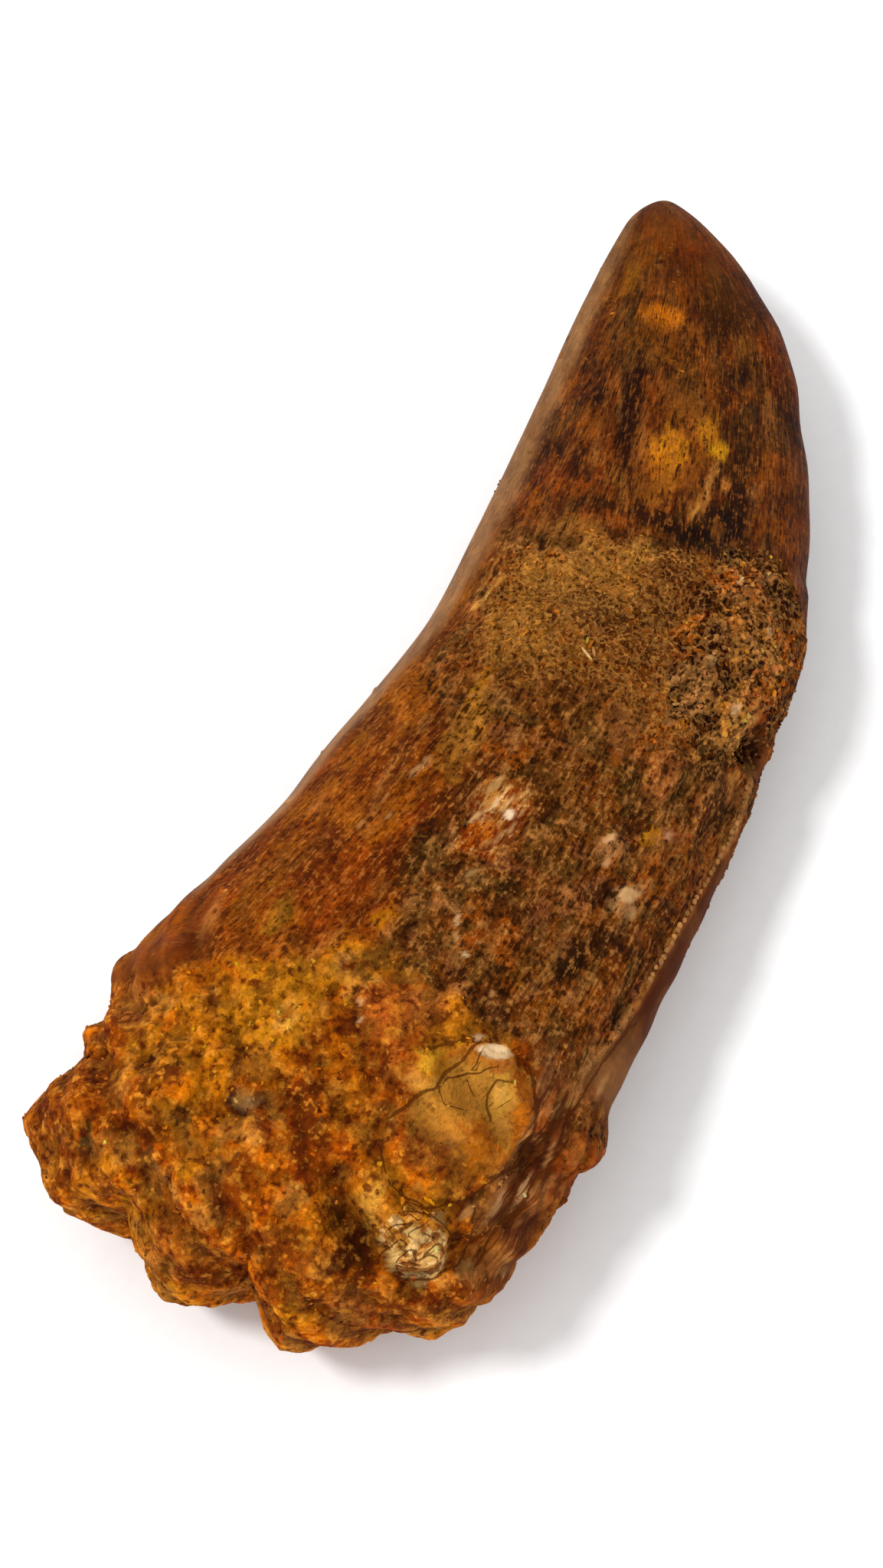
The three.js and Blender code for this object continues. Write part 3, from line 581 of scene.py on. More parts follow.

# Stains of the upper face, with the few that are painted shade marked where they stand:
# x, y, radius along, radius across, turn, colour, strength, softness.
STAINS = [
    # root, rear lobe and shoulder
    (9.0, 14.5, 5.0, 4.0, 0, (150, 78, 18), 0.7, 0.6), (12.6, 11.8, 2.0, 0.9, 10, TAN, 0.5, 0.5),
    (7.6, 13.0, 0.9, 0.5, -20, DARK_OLIVE, 0.9, 0.3), (6.8, 12.6, 0.5, 1.2, 0, (128, 96, 50), 0.7, 0.5),
    (19.4, 13.9, 3.4, 2.2, 5, (140, 76, 30), 0.85, 0.5),
    (17.4, 13.4, 2.0, 1.4, 20, (186, 122, 56), 0.6, 0.6), (22.0, 11.6, 2.4, 1.2, 0, DARK_RED, 0.5, 0.6),
    (8.2, 16.8, 1.2, 0.9, 20, DARK_RED, 0.5, 0.4), (9.6, 17.2, 0.7, 0.5, 0, (84, 34, 12), 0.8, 0.3),
    (5.2, 14.0, 1.0, 0.6, 0, (110, 54, 20), 0.7, 0.4),
    # root, middle
    (14.5, 5.6, 5.2, 2.4, -6, (186, 114, 16), 0.7, 0.6), (20.3, 9.5, 2.2, 1.3, -30, ORANGE, 0.8, 0.6),
    (17.0, 8.0, 2.4, 1.4, 0, OCHRE, 0.6, 0.6), (7.0, 5.0, 1.4, 1.0, 0, YELLOW_OCHRE, 0.6, 0.6),
    (10.6, 6.8, 0.9, 0.9, 0, (80, 44, 16), 0.9, 0.3), (13.4, 8.9, 1.2, 0.6, -25, (84, 44, 16), 0.9, 0.3),
    (14.6, 9.9, 0.7, 0.5, 0, (72, 36, 12), 0.9, 0.2), (11.2, 9.8, 1.3, 0.7, 20, (96, 52, 20), 0.8, 0.4),
    (13.1, 3.2, 0.8, 1.0, 30, (146, 118, 76), 0.85, 0.3),
    (14.7, 4.2, 1.2, 0.6, 20, (104, 64, 30), 0.8, 0.3), (12.2, 3.0, 0.5, 0.4, 0, (64, 36, 14), 0.8, 0.3),
    (7.2, 3.0, 1.6, 1.2, 0, (122, 84, 40), 0.7, 0.5), (19.6, 3.4, 4.0, 3.4, 0, (204, 140, 30), 0.75, 0.6),
    (19.5, 2.5, 1.2, 1.0, 0, (226, 168, 66), 0.85, 0.5),
    (19.6, 2.4, 0.5, 0.4, 0, (176, 106, 24), 0.9, 0.3), (16.2, 2.0, 1.8, 1.6, 0, OCHRE, 0.6, 0.6),
    (3.0, 5.0, 2.0, 2.2, 0, (160, 98, 36), 0.6, 0.6), (2.9, 7.2, 1.4, 0.7, -20, (150, 106, 30), 0.6, 0.5),
    (2.2, 1.0, 1.2, 0.9, 0, (96, 50, 18), 0.6, 0.6), (8.8, -0.4, 3.0, 1.3, 5, (192, 104, 14), 0.8, 0.5),
    (13.8, -1.4, 2.4, 1.0, 25, (92, 46, 14), 0.8, 0.5),
    (12.2, -3.0, 1.6, 0.8, 25, (92, 46, 14), 0.7, 0.5),
    (14.2, -5.2, 2.0, 0.8, 0, (172, 118, 36), 0.6, 0.6), (15.2, -3.6, 2.2, 1.0, 10, OCHRE, 0.6, 0.6),
    (5.6, 1.2, 1.0, 1.6, 0, (120, 56, 16), 0.5, 0.5), (10.8, 5.0, 2.2, 0.9, 0, (196, 112, 14), 0.7, 0.4),
    (6.4, 7.4, 1.6, 0.9, 30, (120, 90, 44), 0.6, 0.4), (9.4, 4.2, 0.8, 0.9, 0, (176, 108, 20), 0.7, 0.4),
    # root, front lobe and crevice; the near-black ovals in the crevice are painted shade
    (3.6, -3.6, 2.4, 2.0, 0, (140, 76, 24), 0.6, 0.6),
    (3.0, -8.3, 1.7, 1.3, -30, (158, 104, 50), 0.65, 0.6),
    (5.2, -4.0, 3.0, 2.6, 0, (150, 80, 20), 0.5, 0.7), (5.6, -7.0, 1.2, 0.9, 0, (58, 28, 12), 0.9, 0.6),
    (7.3, -7.4, 1.2, 0.7, 10, (50, 24, 10), 0.9, 0.6), (6.0, -8.1, 1.8, 0.7, 10, UMBER, 0.7, 0.6),
    (5.0, -11.5, 1.6, 1.0, -50, (110, 60, 24), 0.6, 0.6),
    (9.8, -15.4, 2.4, 1.2, -20, (160, 96, 38), 0.6, 0.7),
    (8.4, -14.4, 1.2, 0.5, -15, (190, 136, 74), 0.7, 0.5),
    (6.4, -14.4, 2.2, 0.9, -35, (96, 48, 20), 0.7, 0.6),
    (7.6, -5.4, 1.2, 0.5, 30, (96, 50, 18), 0.7, 0.5),
    # rough ridge
    (21.0, -4.8, 4.4, 2.6, 20, (166, 86, 28), 0.85, 0.5),
    (20.7, -2.2, 1.0, 0.35, 20, (78, 34, 12), 0.9, 0.3),
    (18.8, -5.1, 1.0, 0.4, 0, (92, 40, 12), 0.8, 0.4),
    (23.6, -6.4, 1.8, 1.4, -20, (184, 110, 52), 0.7, 0.6), (25.6, -1.6, 2.4, 1.0, -35, OLIVE, 0.75, 0.5),
    (24.3, 0.1, 1.1, 0.6, 0, (152, 122, 70), 0.7, 0.4),
    (25.0, 3.6, 1.4, 0.6, -50, (100, 56, 20), 0.7, 0.5),
    (22.6, 2.0, 1.4, 3.0, 20, (192, 132, 28), 0.6, 0.6),
    (22.6, -3.2, 1.6, 0.9, 10, (188, 104, 40), 0.7, 0.5),
    (25.4, -4.4, 1.2, 1.4, 0, (110, 78, 32), 0.7, 0.5),
    # fibrous base of the crown
    (26.6, 5.9, 1.8, 0.9, -10, (170, 122, 36), 0.7, 0.5),
    (28.4, -1.2, 1.0, 0.8, 0, (190, 122, 18), 0.9, 0.3),
    (29.5, 2.6, 4.6, 2.4, -12, (146, 68, 12), 0.6, 0.7),
    (30.0, 7.6, 5.0, 1.6, -18, (160, 96, 24), 0.6, 0.7),
    (36.5, 5.4, 4.0, 1.2, -15, (150, 78, 16), 0.5, 0.7),
    (37.5, 1.2, 3.6, 1.0, -8, (166, 92, 18), 0.7, 0.5),
    (29.8, -3.0, 3.0, 1.2, -8, (96, 68, 28), 0.7, 0.6),
    (33.6, -1.6, 2.2, 1.0, -5, (84, 56, 22), 0.7, 0.6),
    (35.6, -1.8, 0.6, 0.7, 0, (166, 122, 60), 0.8, 0.3),
    (38.8, -1.9, 4.0, 0.9, -8, (84, 44, 16), 0.8, 0.5),
    (42.5, -3.6, 2.0, 0.5, -20, (72, 40, 16), 0.7, 0.5),
    (45.0, -1.2, 4.6, 1.6, -3, (176, 120, 40), 0.8, 0.6),
    (41.0, 0.8, 1.2, 0.4, -15, (190, 138, 88), 0.7, 0.4),
    (46.0, 3.2, 3.6, 1.6, -8, (164, 98, 24), 0.7, 0.7),
    (31.6, 5.8, 1.6, 0.5, -15, (100, 58, 20), 0.7, 0.4),
    (35.2, 3.2, 1.4, 0.5, -12, (92, 46, 14), 0.7, 0.4),
    (33.0, 0.4, 2.4, 0.8, -10, (122, 54, 12), 0.7, 0.5),
    (37.4, -0.6, 1.6, 0.6, 0, (128, 44, 10), 0.6, 0.5),
    # the chip
    (41.0, -4.8, 1.5, 0.9, -20, (236, 166, 76), 0.85, 0.4),
    (37.2, -4.9, 1.6, 1.1, -20, (216, 114, 24), 0.85, 0.4),
    (38.6, -6.9, 1.8, 0.6, -18, (140, 74, 30), 0.7, 0.5),
    (39.3, -5.0, 0.9, 0.5, -20, (160, 84, 26), 0.7, 0.4),
    (36.4, -3.4, 1.6, 0.4, -16, (84, 40, 14), 0.8, 0.4),
    # rough middle of the tooth, front half
    (28.7, -6.6, 1.4, 0.7, 20, TAN, 0.7, 0.5), (34.2, -5.8, 1.0, 0.5, -35, (156, 112, 60), 0.6, 0.4),
    (34.4, -8.4, 1.1, 0.8, 0, (66, 44, 18), 0.85, 0.5),
    (33.5, -11.2, 1.4, 0.6, -5, (172, 108, 62), 0.7, 0.5),
    (31.6, -14.3, 1.8, 0.8, -10, (48, 32, 14), 0.9, 0.5),
    (33.6, -16.2, 1.0, 1.2, -30, (60, 34, 14), 0.8, 0.5),
    (36.6, -14.4, 1.8, 0.7, -35, (60, 32, 16), 0.8, 0.5),
    (29.0, -11.5, 2.2, 1.2, 0, (112, 82, 34), 0.6, 0.6),
    (27.0, -13.6, 1.8, 0.9, -5, (168, 100, 30), 0.6, 0.6),
    (30.0, -16.8, 4.2, 1.1, -8, (136, 72, 20), 0.7, 0.6),
    (42.8, -16.2, 0.8, 0.6, -45, YELLOW_OCHRE, 0.9, 0.3),
    (42.4, -14.6, 1.6, 0.6, -45, (66, 38, 16), 0.7, 0.5),
    (37.4, -16.2, 1.3, 0.9, -30, (186, 142, 92), 0.85, 0.4),
    (40.3, -13.9, 1.6, 0.8, -30, (172, 124, 80), 0.7, 0.5),
    (46.8, -15.5, 2.3, 1.1, -14, (164, 98, 52), 0.65, 0.6),
    (46.3, -13.2, 1.3, 0.7, 0, (66, 50, 22), 0.8, 0.5),
    (50.2, -18.4, 1.6, 1.2, 0, (52, 30, 14), 0.8, 0.5),
    (46.6, -19.4, 2.4, 0.8, -6, (64, 34, 14), 0.8, 0.6),
    (41.0, -18.4, 3.4, 0.9, -8, (112, 66, 22), 0.7, 0.6),
    (50.4, 1.3, 3.2, 0.8, -2, (100, 56, 24), 0.6, 0.6),
    (40.0, -10.6, 3.0, 1.2, -10, (102, 56, 20), 0.6, 0.7),
    (44.6, -8.2, 3.4, 2.0, 0, (112, 64, 22), 0.5, 0.7),
    (35.4, -12.8, 1.6, 0.8, -20, (180, 116, 66), 0.6, 0.4),
    (43.6, -17.2, 0.8, 0.5, -10, PINK_TAN, 0.7, 0.4),
    # the sandy layer and the coarse crust
    (54.5, -1.6, 4.5, 2.4, 0, (168, 116, 42), 0.6, 0.7),
    (60.0, -5.5, 3.4, 4.2, 10, (176, 122, 50), 0.7, 0.7),
    (54.5, -9.6, 4.5, 3.6, 0, (108, 60, 22), 0.75, 0.8),
    (50.6, -5.6, 3.6, 4.4, 0, (108, 62, 24), 0.7, 0.7),
    (48.8, -1.0, 1.6, 0.9, 0, (186, 126, 30), 0.7, 0.5),
    (63.5, -3.5, 2.0, 2.4, 0, (172, 118, 48), 0.6, 0.6),
    (62.6, -11.0, 2.6, 2.0, 0, (92, 52, 26), 0.8, 0.5),
    (65.6, -4.6, 0.9, 2.2, 0, (150, 74, 20), 0.7, 0.4), (57.6, -6.4, 1.6, 2.4, 0, (94, 56, 28), 0.7, 0.4),
    (63.6, -8.4, 1.4, 1.2, 0, (188, 136, 60), 0.7, 0.4),
    (59.4, -10.6, 1.8, 1.6, 0, (82, 46, 24), 0.7, 0.4),
    (58.8, -13.4, 1.6, 0.8, -20, (198, 106, 20), 0.8, 0.4),
    (57.0, -19.6, 2.2, 1.2, 0, (164, 74, 20), 0.6, 0.6),
    (62.0, -17.0, 3.6, 2.2, 0, (150, 96, 46), 0.6, 0.7),
    (57.0, -13.2, 1.8, 1.2, 0, (148, 82, 32), 0.6, 0.5),
    (52.6, -17.0, 1.4, 1.2, 0, (60, 38, 18), 0.7, 0.5),
    (66.0, -13.0, 1.6, 1.6, 0, (92, 56, 26), 0.6, 0.6),
    (54.6, -15.4, 2.4, 1.6, 0, (176, 128, 76), 0.6, 0.5),
    (61.6, -4.2, 1.0, 1.6, 0, (196, 140, 70), 0.5, 0.5),
    # the crown
    (75.6, -0.9, 1.2, 0.6, 0, (52, 28, 12), 0.9, 0.15),
    (77.8, -3.0, 0.8, 0.9, 60, (48, 26, 10), 0.9, 0.15),
    (74.4, -3.5, 2.6, 0.9, 5, (46, 24, 10), 0.92, 0.15),
    (71.3, -4.5, 1.6, 0.7, 0, (66, 34, 14), 0.85, 0.25),
    (74.6, -2.9, 1.8, 0.16, 4, (134, 92, 44), 0.8, 0.3),
    (67.4, -1.0, 3.0, 1.0, 0, (96, 46, 14), 0.6, 0.6), (79.0, -1.2, 1.2, 0.6, 0, (80, 46, 18), 0.7, 0.3),
    (73.4, 0.6, 1.8, 0.6, 0, (92, 62, 30), 0.7, 0.3),
    (83.4, -2.9, 1.2, 1.9, 0, (212, 124, 22), 0.92, 0.25),
    (81.0, -3.2, 1.8, 2.2, 0, (140, 84, 24), 0.7, 0.5),
    (72.4, -8.2, 3.4, 2.6, 0, (160, 92, 26), 0.8, 0.4),
    (72.6, -7.4, 2.0, 1.3, 0, (208, 136, 28), 0.85, 0.3),
    (74.4, -10.8, 0.9, 0.7, 0, (222, 164, 26), 0.95, 0.1),
    (75.6, -9.4, 1.3, 1.0, 20, (200, 134, 28), 0.85, 0.3),
    (76.4, -7.6, 1.6, 1.2, 0, (154, 92, 24), 0.6, 0.5),
    (69.2, -7.6, 1.6, 1.3, 0, (176, 108, 32), 0.7, 0.4),
    (71.0, -10.9, 2.2, 0.32, 0, (188, 128, 62), 0.9, 0.1),
    (68.8, -10.9, 0.9, 0.7, 0, (186, 122, 50), 0.9, 0.3),
    (78.6, -5.4, 1.8, 1.0, 10, (136, 86, 34), 0.6, 0.4),
    (75.6, -5.6, 1.6, 0.8, 0, (120, 62, 18), 0.7, 0.4),
    (80.9, -9.8, 1.3, 0.9, 10, (50, 36, 18), 0.85, 0.25),
    (77.4, -11.8, 2.4, 1.0, 10, (76, 54, 26), 0.8, 0.4),
    (73.6, -12.8, 2.4, 1.0, 5, (62, 40, 20), 0.8, 0.4),
    (70.2, -13.6, 2.4, 1.2, 0, (40, 26, 12), 0.9, 0.4),
    (71.6, -12.2, 0.5, 0.4, 0, (200, 132, 60), 0.9, 0.2),
    (72.3, -14.4, 0.9, 0.35, -10, (184, 122, 60), 0.8, 0.3),
    (76.3, -14.9, 0.5, 0.45, 0, (206, 118, 34), 0.95, 0.1),
    (74.8, -15.4, 2.4, 1.0, 15, (104, 52, 20), 0.7, 0.5),
    # a dark band along the ledge of the sandy layer, darkest towards the front edge
    (66.6, -4.6, 0.5, 2.4, 0, (66, 38, 16), 0.85, 0.3),
    (66.7, -8.8, 0.7, 2.4, -5, (48, 28, 13), 0.9, 0.3),
    (66.6, -13.2, 1.2, 2.6, 0, (42, 31, 16), 0.9, 0.3),
    (64.8, -10.6, 0.8, 1.8, 0, (66, 42, 22), 0.7, 0.5),
    (68.4, -12.9, 1.8, 2.0, 0, (36, 25, 13), 0.9, 0.4),
    (67.6, -1.6, 0.9, 1.6, 0, (178, 92, 24), 0.6, 0.5),
    (86.4, -7.2, 3.4, 2.8, 35, (72, 44, 22), 0.8, 0.6),
    (84.4, -6.0, 1.8, 1.0, 20, (82, 44, 16), 0.6, 0.5),
    (86.4, 0.4, 2.2, 0.8, 5, (160, 104, 28), 0.7, 0.6), (88.0, -2.6, 2.4, 2.0, 0, (98, 48, 18), 0.6, 0.7),
    (92.6, -1.0, 2.4, 2.0, 0, (136, 74, 28), 0.6, 0.7),
    (82.0, -0.4, 1.8, 1.0, 0, (104, 76, 38), 0.5, 0.5),
    (79.6, -2.8, 1.4, 1.8, 0, (116, 80, 34), 0.6, 0.5),
    (90.2, -3.2, 1.2, 1.6, 10, (126, 52, 18), 0.5, 0.5),
    # the plate
    (18.4, -10.0, 2.6, 2.4, -25, (214, 156, 62), 0.85, 0.5),
    (17.0, -10.8, 2.6, 1.2, -20, (196, 134, 52), 0.6, 0.8),
    (19.6, -13.0, 1.8, 1.1, 10, (208, 156, 62), 0.9, 0.3),
    (19.8, -13.2, 0.9, 0.5, 15, (224, 178, 86), 0.7, 0.6),
    (14.6, -9.6, 2.0, 1.6, 0, (150, 96, 38), 0.75, 0.6),
    (13.4, -9.0, 0.8, 0.7, 0, (96, 54, 24), 0.7, 0.5),
    (13.4, -12.0, 2.2, 1.4, -10, (152, 100, 36), 0.8, 0.6),
    (15.6, -12.9, 1.4, 0.8, 0, (186, 112, 24), 0.6, 0.5),
    (15.0, -6.8, 1.4, 0.6, 0, (122, 90, 38), 0.7, 0.5),
    (21.8, -12.4, 0.7, 1.2, 0, (200, 120, 46), 0.8, 0.5),
    (18.6, -15.0, 1.6, 0.4, 8, (196, 112, 24), 0.8, 0.4),
    (12.6, -13.8, 1.6, 0.5, -20, (84, 46, 24), 0.8, 0.4),
    # painted shade along the crease at the plate's lower rim
    (17.0, -16.2, 1.4, 0.45, 5, PURPLE_BROWN, 0.9, 0.3),
    (22.4, -15.2, 1.8, 0.6, 20, (110, 66, 42), 0.7, 0.5),
    (9.6, -7.6, 1.8, 0.9, 10, (198, 148, 60), 0.8, 0.5),
    (20.1, -8.0, 1.7, 0.85, 0, (204, 138, 34), 0.9, 0.2), (20.0, -7.9, 1.1, 0.5, 0, YELLOW, 0.95, 0.1),
    (21.4, -10.2, 0.8, 0.7, 0, (184, 112, 34), 0.7, 0.5),
    (16.0, -8.6, 1.2, 0.8, 0, (176, 124, 48), 0.6, 0.5),
]

# Flakes with crisp rims, most of them pale: x, y, radius along, radius across, turn, colour.
FLAKES = [
    (22.4, -11.6, 0.7, 1.2, 25, (238, 216, 172)), (23.0, -10.3, 0.3, 0.4, 30, (206, 176, 140)),
    (6.9, -10.0, 0.7, 0.5, 20, (224, 190, 116)), (8.6, -11.0, 0.5, 0.7, 0, (230, 200, 128)),
    (7.9, -12.4, 0.7, 0.4, -20, (218, 180, 106)), (6.4, -12.0, 0.4, 0.5, 10, (206, 170, 106)),
    (10.4, -11.9, 0.4, 0.7, 0, (196, 156, 92)), (9.0, -14.6, 0.6, 0.25, -10, (198, 146, 80)),
    (11.8, -13.6, 0.9, 0.3, -20, (182, 132, 78)), (13.4, -15.2, 1.2, 0.2, -6, (184, 144, 100)),
    (39.8, -6.4, 0.45, 0.40, 40, (246, 228, 196)), (41.6, -4.8, 0.9, 0.3, -25, (226, 180, 112)),
    (40.2, -5.2, 0.9, 0.22, -20, (242, 212, 160)), (38.9, -7.0, 0.7, 0.18, -20, (222, 176, 118)),
    (37.8, -6.3, 0.8, 0.18, -18, (206, 150, 96)), (38.7, -4.2, 0.9, 0.2, -22, (228, 184, 124)),
    (40.3, -7.2, 0.6, 0.16, -20, (214, 166, 110)), (39.4, -5.9, 0.7, 0.12, -20, (120, 56, 20)),
    (40.7, -6.1, 0.8, 0.16, -20, (236, 194, 130)), (38.2, -5.2, 0.9, 0.14, -18, (218, 140, 58)),
    (41.4, -5.6, 0.6, 0.14, -20, (238, 200, 140)), (37.6, -4.4, 0.7, 0.13, -20, (120, 54, 18)),
    (39.0, -4.6, 0.5, 0.12, -20, (242, 208, 150)), (37.0, -5.6, 0.5, 0.14, -20, (230, 160, 84)),
    (37.6, -16.2, 0.8, 0.6, -35, (214, 176, 124)), (36.7, -16.9, 0.5, 0.3, 0, (196, 154, 104)),
    (40.8, -13.6, 0.7, 0.3, -35, (196, 158, 112)), (39.2, -14.0, 0.4, 0.25, 0, (184, 144, 100)),
    (30.6, -5.9, 0.6, 0.16, 20, (226, 190, 140)), (29.3, -6.3, 0.4, 0.2, 10, (196, 152, 98)),
    (28.3, -7.3, 0.25, 0.3, 0, (214, 180, 132)), (34.3, -5.7, 0.6, 0.25, -35, (180, 144, 88)),
    (32.2, -3.8, 0.25, 0.2, 0, PALE_TAN), (26.4, -10.0, 0.3, 0.25, 0, PALE_TAN),
    (56.3, 1.7, 1.2, 0.26, -22, (206, 152, 76)), (57.8, 1.1, 0.8, 0.25, -20, (190, 136, 64)),
    (35.4, 3.1, 0.5, 0.12, -15, (190, 136, 80)), (38.0, 2.2, 0.6, 0.12, -20, (186, 134, 78)),
    (36.6, 1.4, 0.4, 0.14, -20, (194, 144, 92)), (40.8, 1.1, 0.6, 0.16, -20, (200, 148, 98)),
    (64.4, -15.6, 0.6, 0.35, 10, (206, 160, 108)), (61.6, -18.8, 0.5, 0.4, 0, (204, 164, 120)),
    (57.0, -15.8, 0.6, 0.35, 20, (200, 156, 100)), (54.6, -18.6, 0.5, 0.4, 0, (206, 170, 122)),
    (66.2, -17.6, 0.4, 0.4, 0, (190, 138, 84)), (59.3, -20.2, 0.5, 0.3, 0, (190, 120, 66)),
    (51.4, -14.6, 0.4, 0.3, 0, (176, 130, 84)), (68.6, -10.8, 0.6, 0.2, -15, (206, 150, 70)),
    (24.6, -19.0, 1.2, 0.16, -6, (170, 126, 80)), (18.0, -17.3, 1.3, 0.2, -8, (170, 122, 76)),
    (15.2, -16.4, 1.2, 0.2, -6, (184, 146, 102)), (43.4, -17.3, 0.4, 0.3, 0, (204, 156, 116)),
    (20.9, -2.4, 0.3, 0.2, 0, (220, 176, 130)), (22.2, -2.0, 0.35, 0.25, 20, (206, 160, 108)),
]

# What a stain reflects, as shares of its look in red, green and blue, and how much of the pale
# room every surface mirrors besides.
PAINT_SHARES = np.array((0.80, 0.69, 0.60))
MIRRORED = 0.0035
DARKEST = 0.0006


def linear(colour):
    """An sRGB colour as linear light."""
    c = np.array(colour, float) / 255
    return np.where(c <= 0.04045, c / 12.92, ((c + 0.055) / 1.055) ** 2.4)


def stone(colour):
    """What a surface of that look reflects."""
    return np.maximum(linear(colour) * PAINT_SHARES - MIRRORED, DARKEST)


# What the tops of the lumps turn to, and the gaps between them, on each kind of surface.
# On the lumps these are also painted light on the raised tops and painted shade in the low gaps.
TOPS = {"crust": (226, 152, 52), "rough": (186, 130, 70), "sand": (196, 144, 72),
        "coarse": (216, 158, 86), "fibrous": (194, 122, 52), "crown": (160, 98, 42),
        "cream": (246, 224, 162), "chip": (236, 188, 118), "strata": (206, 158, 96),
        "bevel": (196, 152, 102)}
GAPS = {"crust": (94, 38, 10), "rough": (56, 32, 16), "sand": (66, 32, 12), "coarse": (30, 15, 8),
        "fibrous": (84, 36, 12), "crown": (48, 26, 14), "cream": (116, 72, 30), "chip": (128, 48, 10),
        "strata": (52, 27, 17), "bevel": (122, 82, 48)}

# Kinds that lie over others, and how many times their share they then count.
OVERLYING, OVERLYING_WEIGHT = ("cream", "chip", "strata"), 4.0

# What a point of no kind at all gets, and how little it counts elsewhere.
UNKIND, UNKIND_WEIGHT = (120, 70, 24), 0.001


def blend(kinds, table):
    """One colour for every point, mixed from the table by the shares of the kinds of surface."""
    total, colour = UNKIND_WEIGHT, stone(UNKIND) * UNKIND_WEIGHT
    for name, shade in table.items():
        share = getattr(kinds, name)[..., None] * (OVERLYING_WEIGHT if name in OVERLYING else 1.0)
        colour = colour + share * stone(shade)
        total = total + share
    return colour / total


# The ground colour of each kind of surface, laid in this order: kind, colour, strength.
GROUNDS = [
    ("crust", (174, 96, 16), 0.9), ("rough", (122, 70, 26), 0.85), ("sand", (132, 80, 32), 0.85),
    ("coarse", (104, 55, 20), 0.9), ("shoulder", (124, 68, 38), 0.8), ("apron", (148, 88, 42), 0.8),
    # the rear band's pale grey-tan is partly its worn enamel's colour and partly painted sheen
    ("flank", (82, 40, 13), 0.88), ("bevel", (166, 122, 76), 0.85), ("plate", (172, 114, 38), 1.0),
    ("cream", (224, 178, 108), 0.95), ("chip", (184, 112, 44), 1.0), ("strata", (122, 72, 30), 0.85),
    # the hole's near black is painted shade inside it
    ("hole", (32, 17, 9), 0.95),
]

# Noises for the patches: size, seed and octaves of the round ones, and length, width and seed of
# those drawn out along the front edge.
ROUND_NOISES = {"patchy": (5.0, 83, 3), "clotted": (2.6, 85, 3), "spotted": (1.7, 89, 2),
                "small": (1.1, 87, 2)}
LONG_NOISES = {"banded": (4.6, 1.2, 79), "strokes": (2.8, 0.5, 81), "layers": LAYER_NOISE,
               "sheets": (2.6, 0.8, 69)}

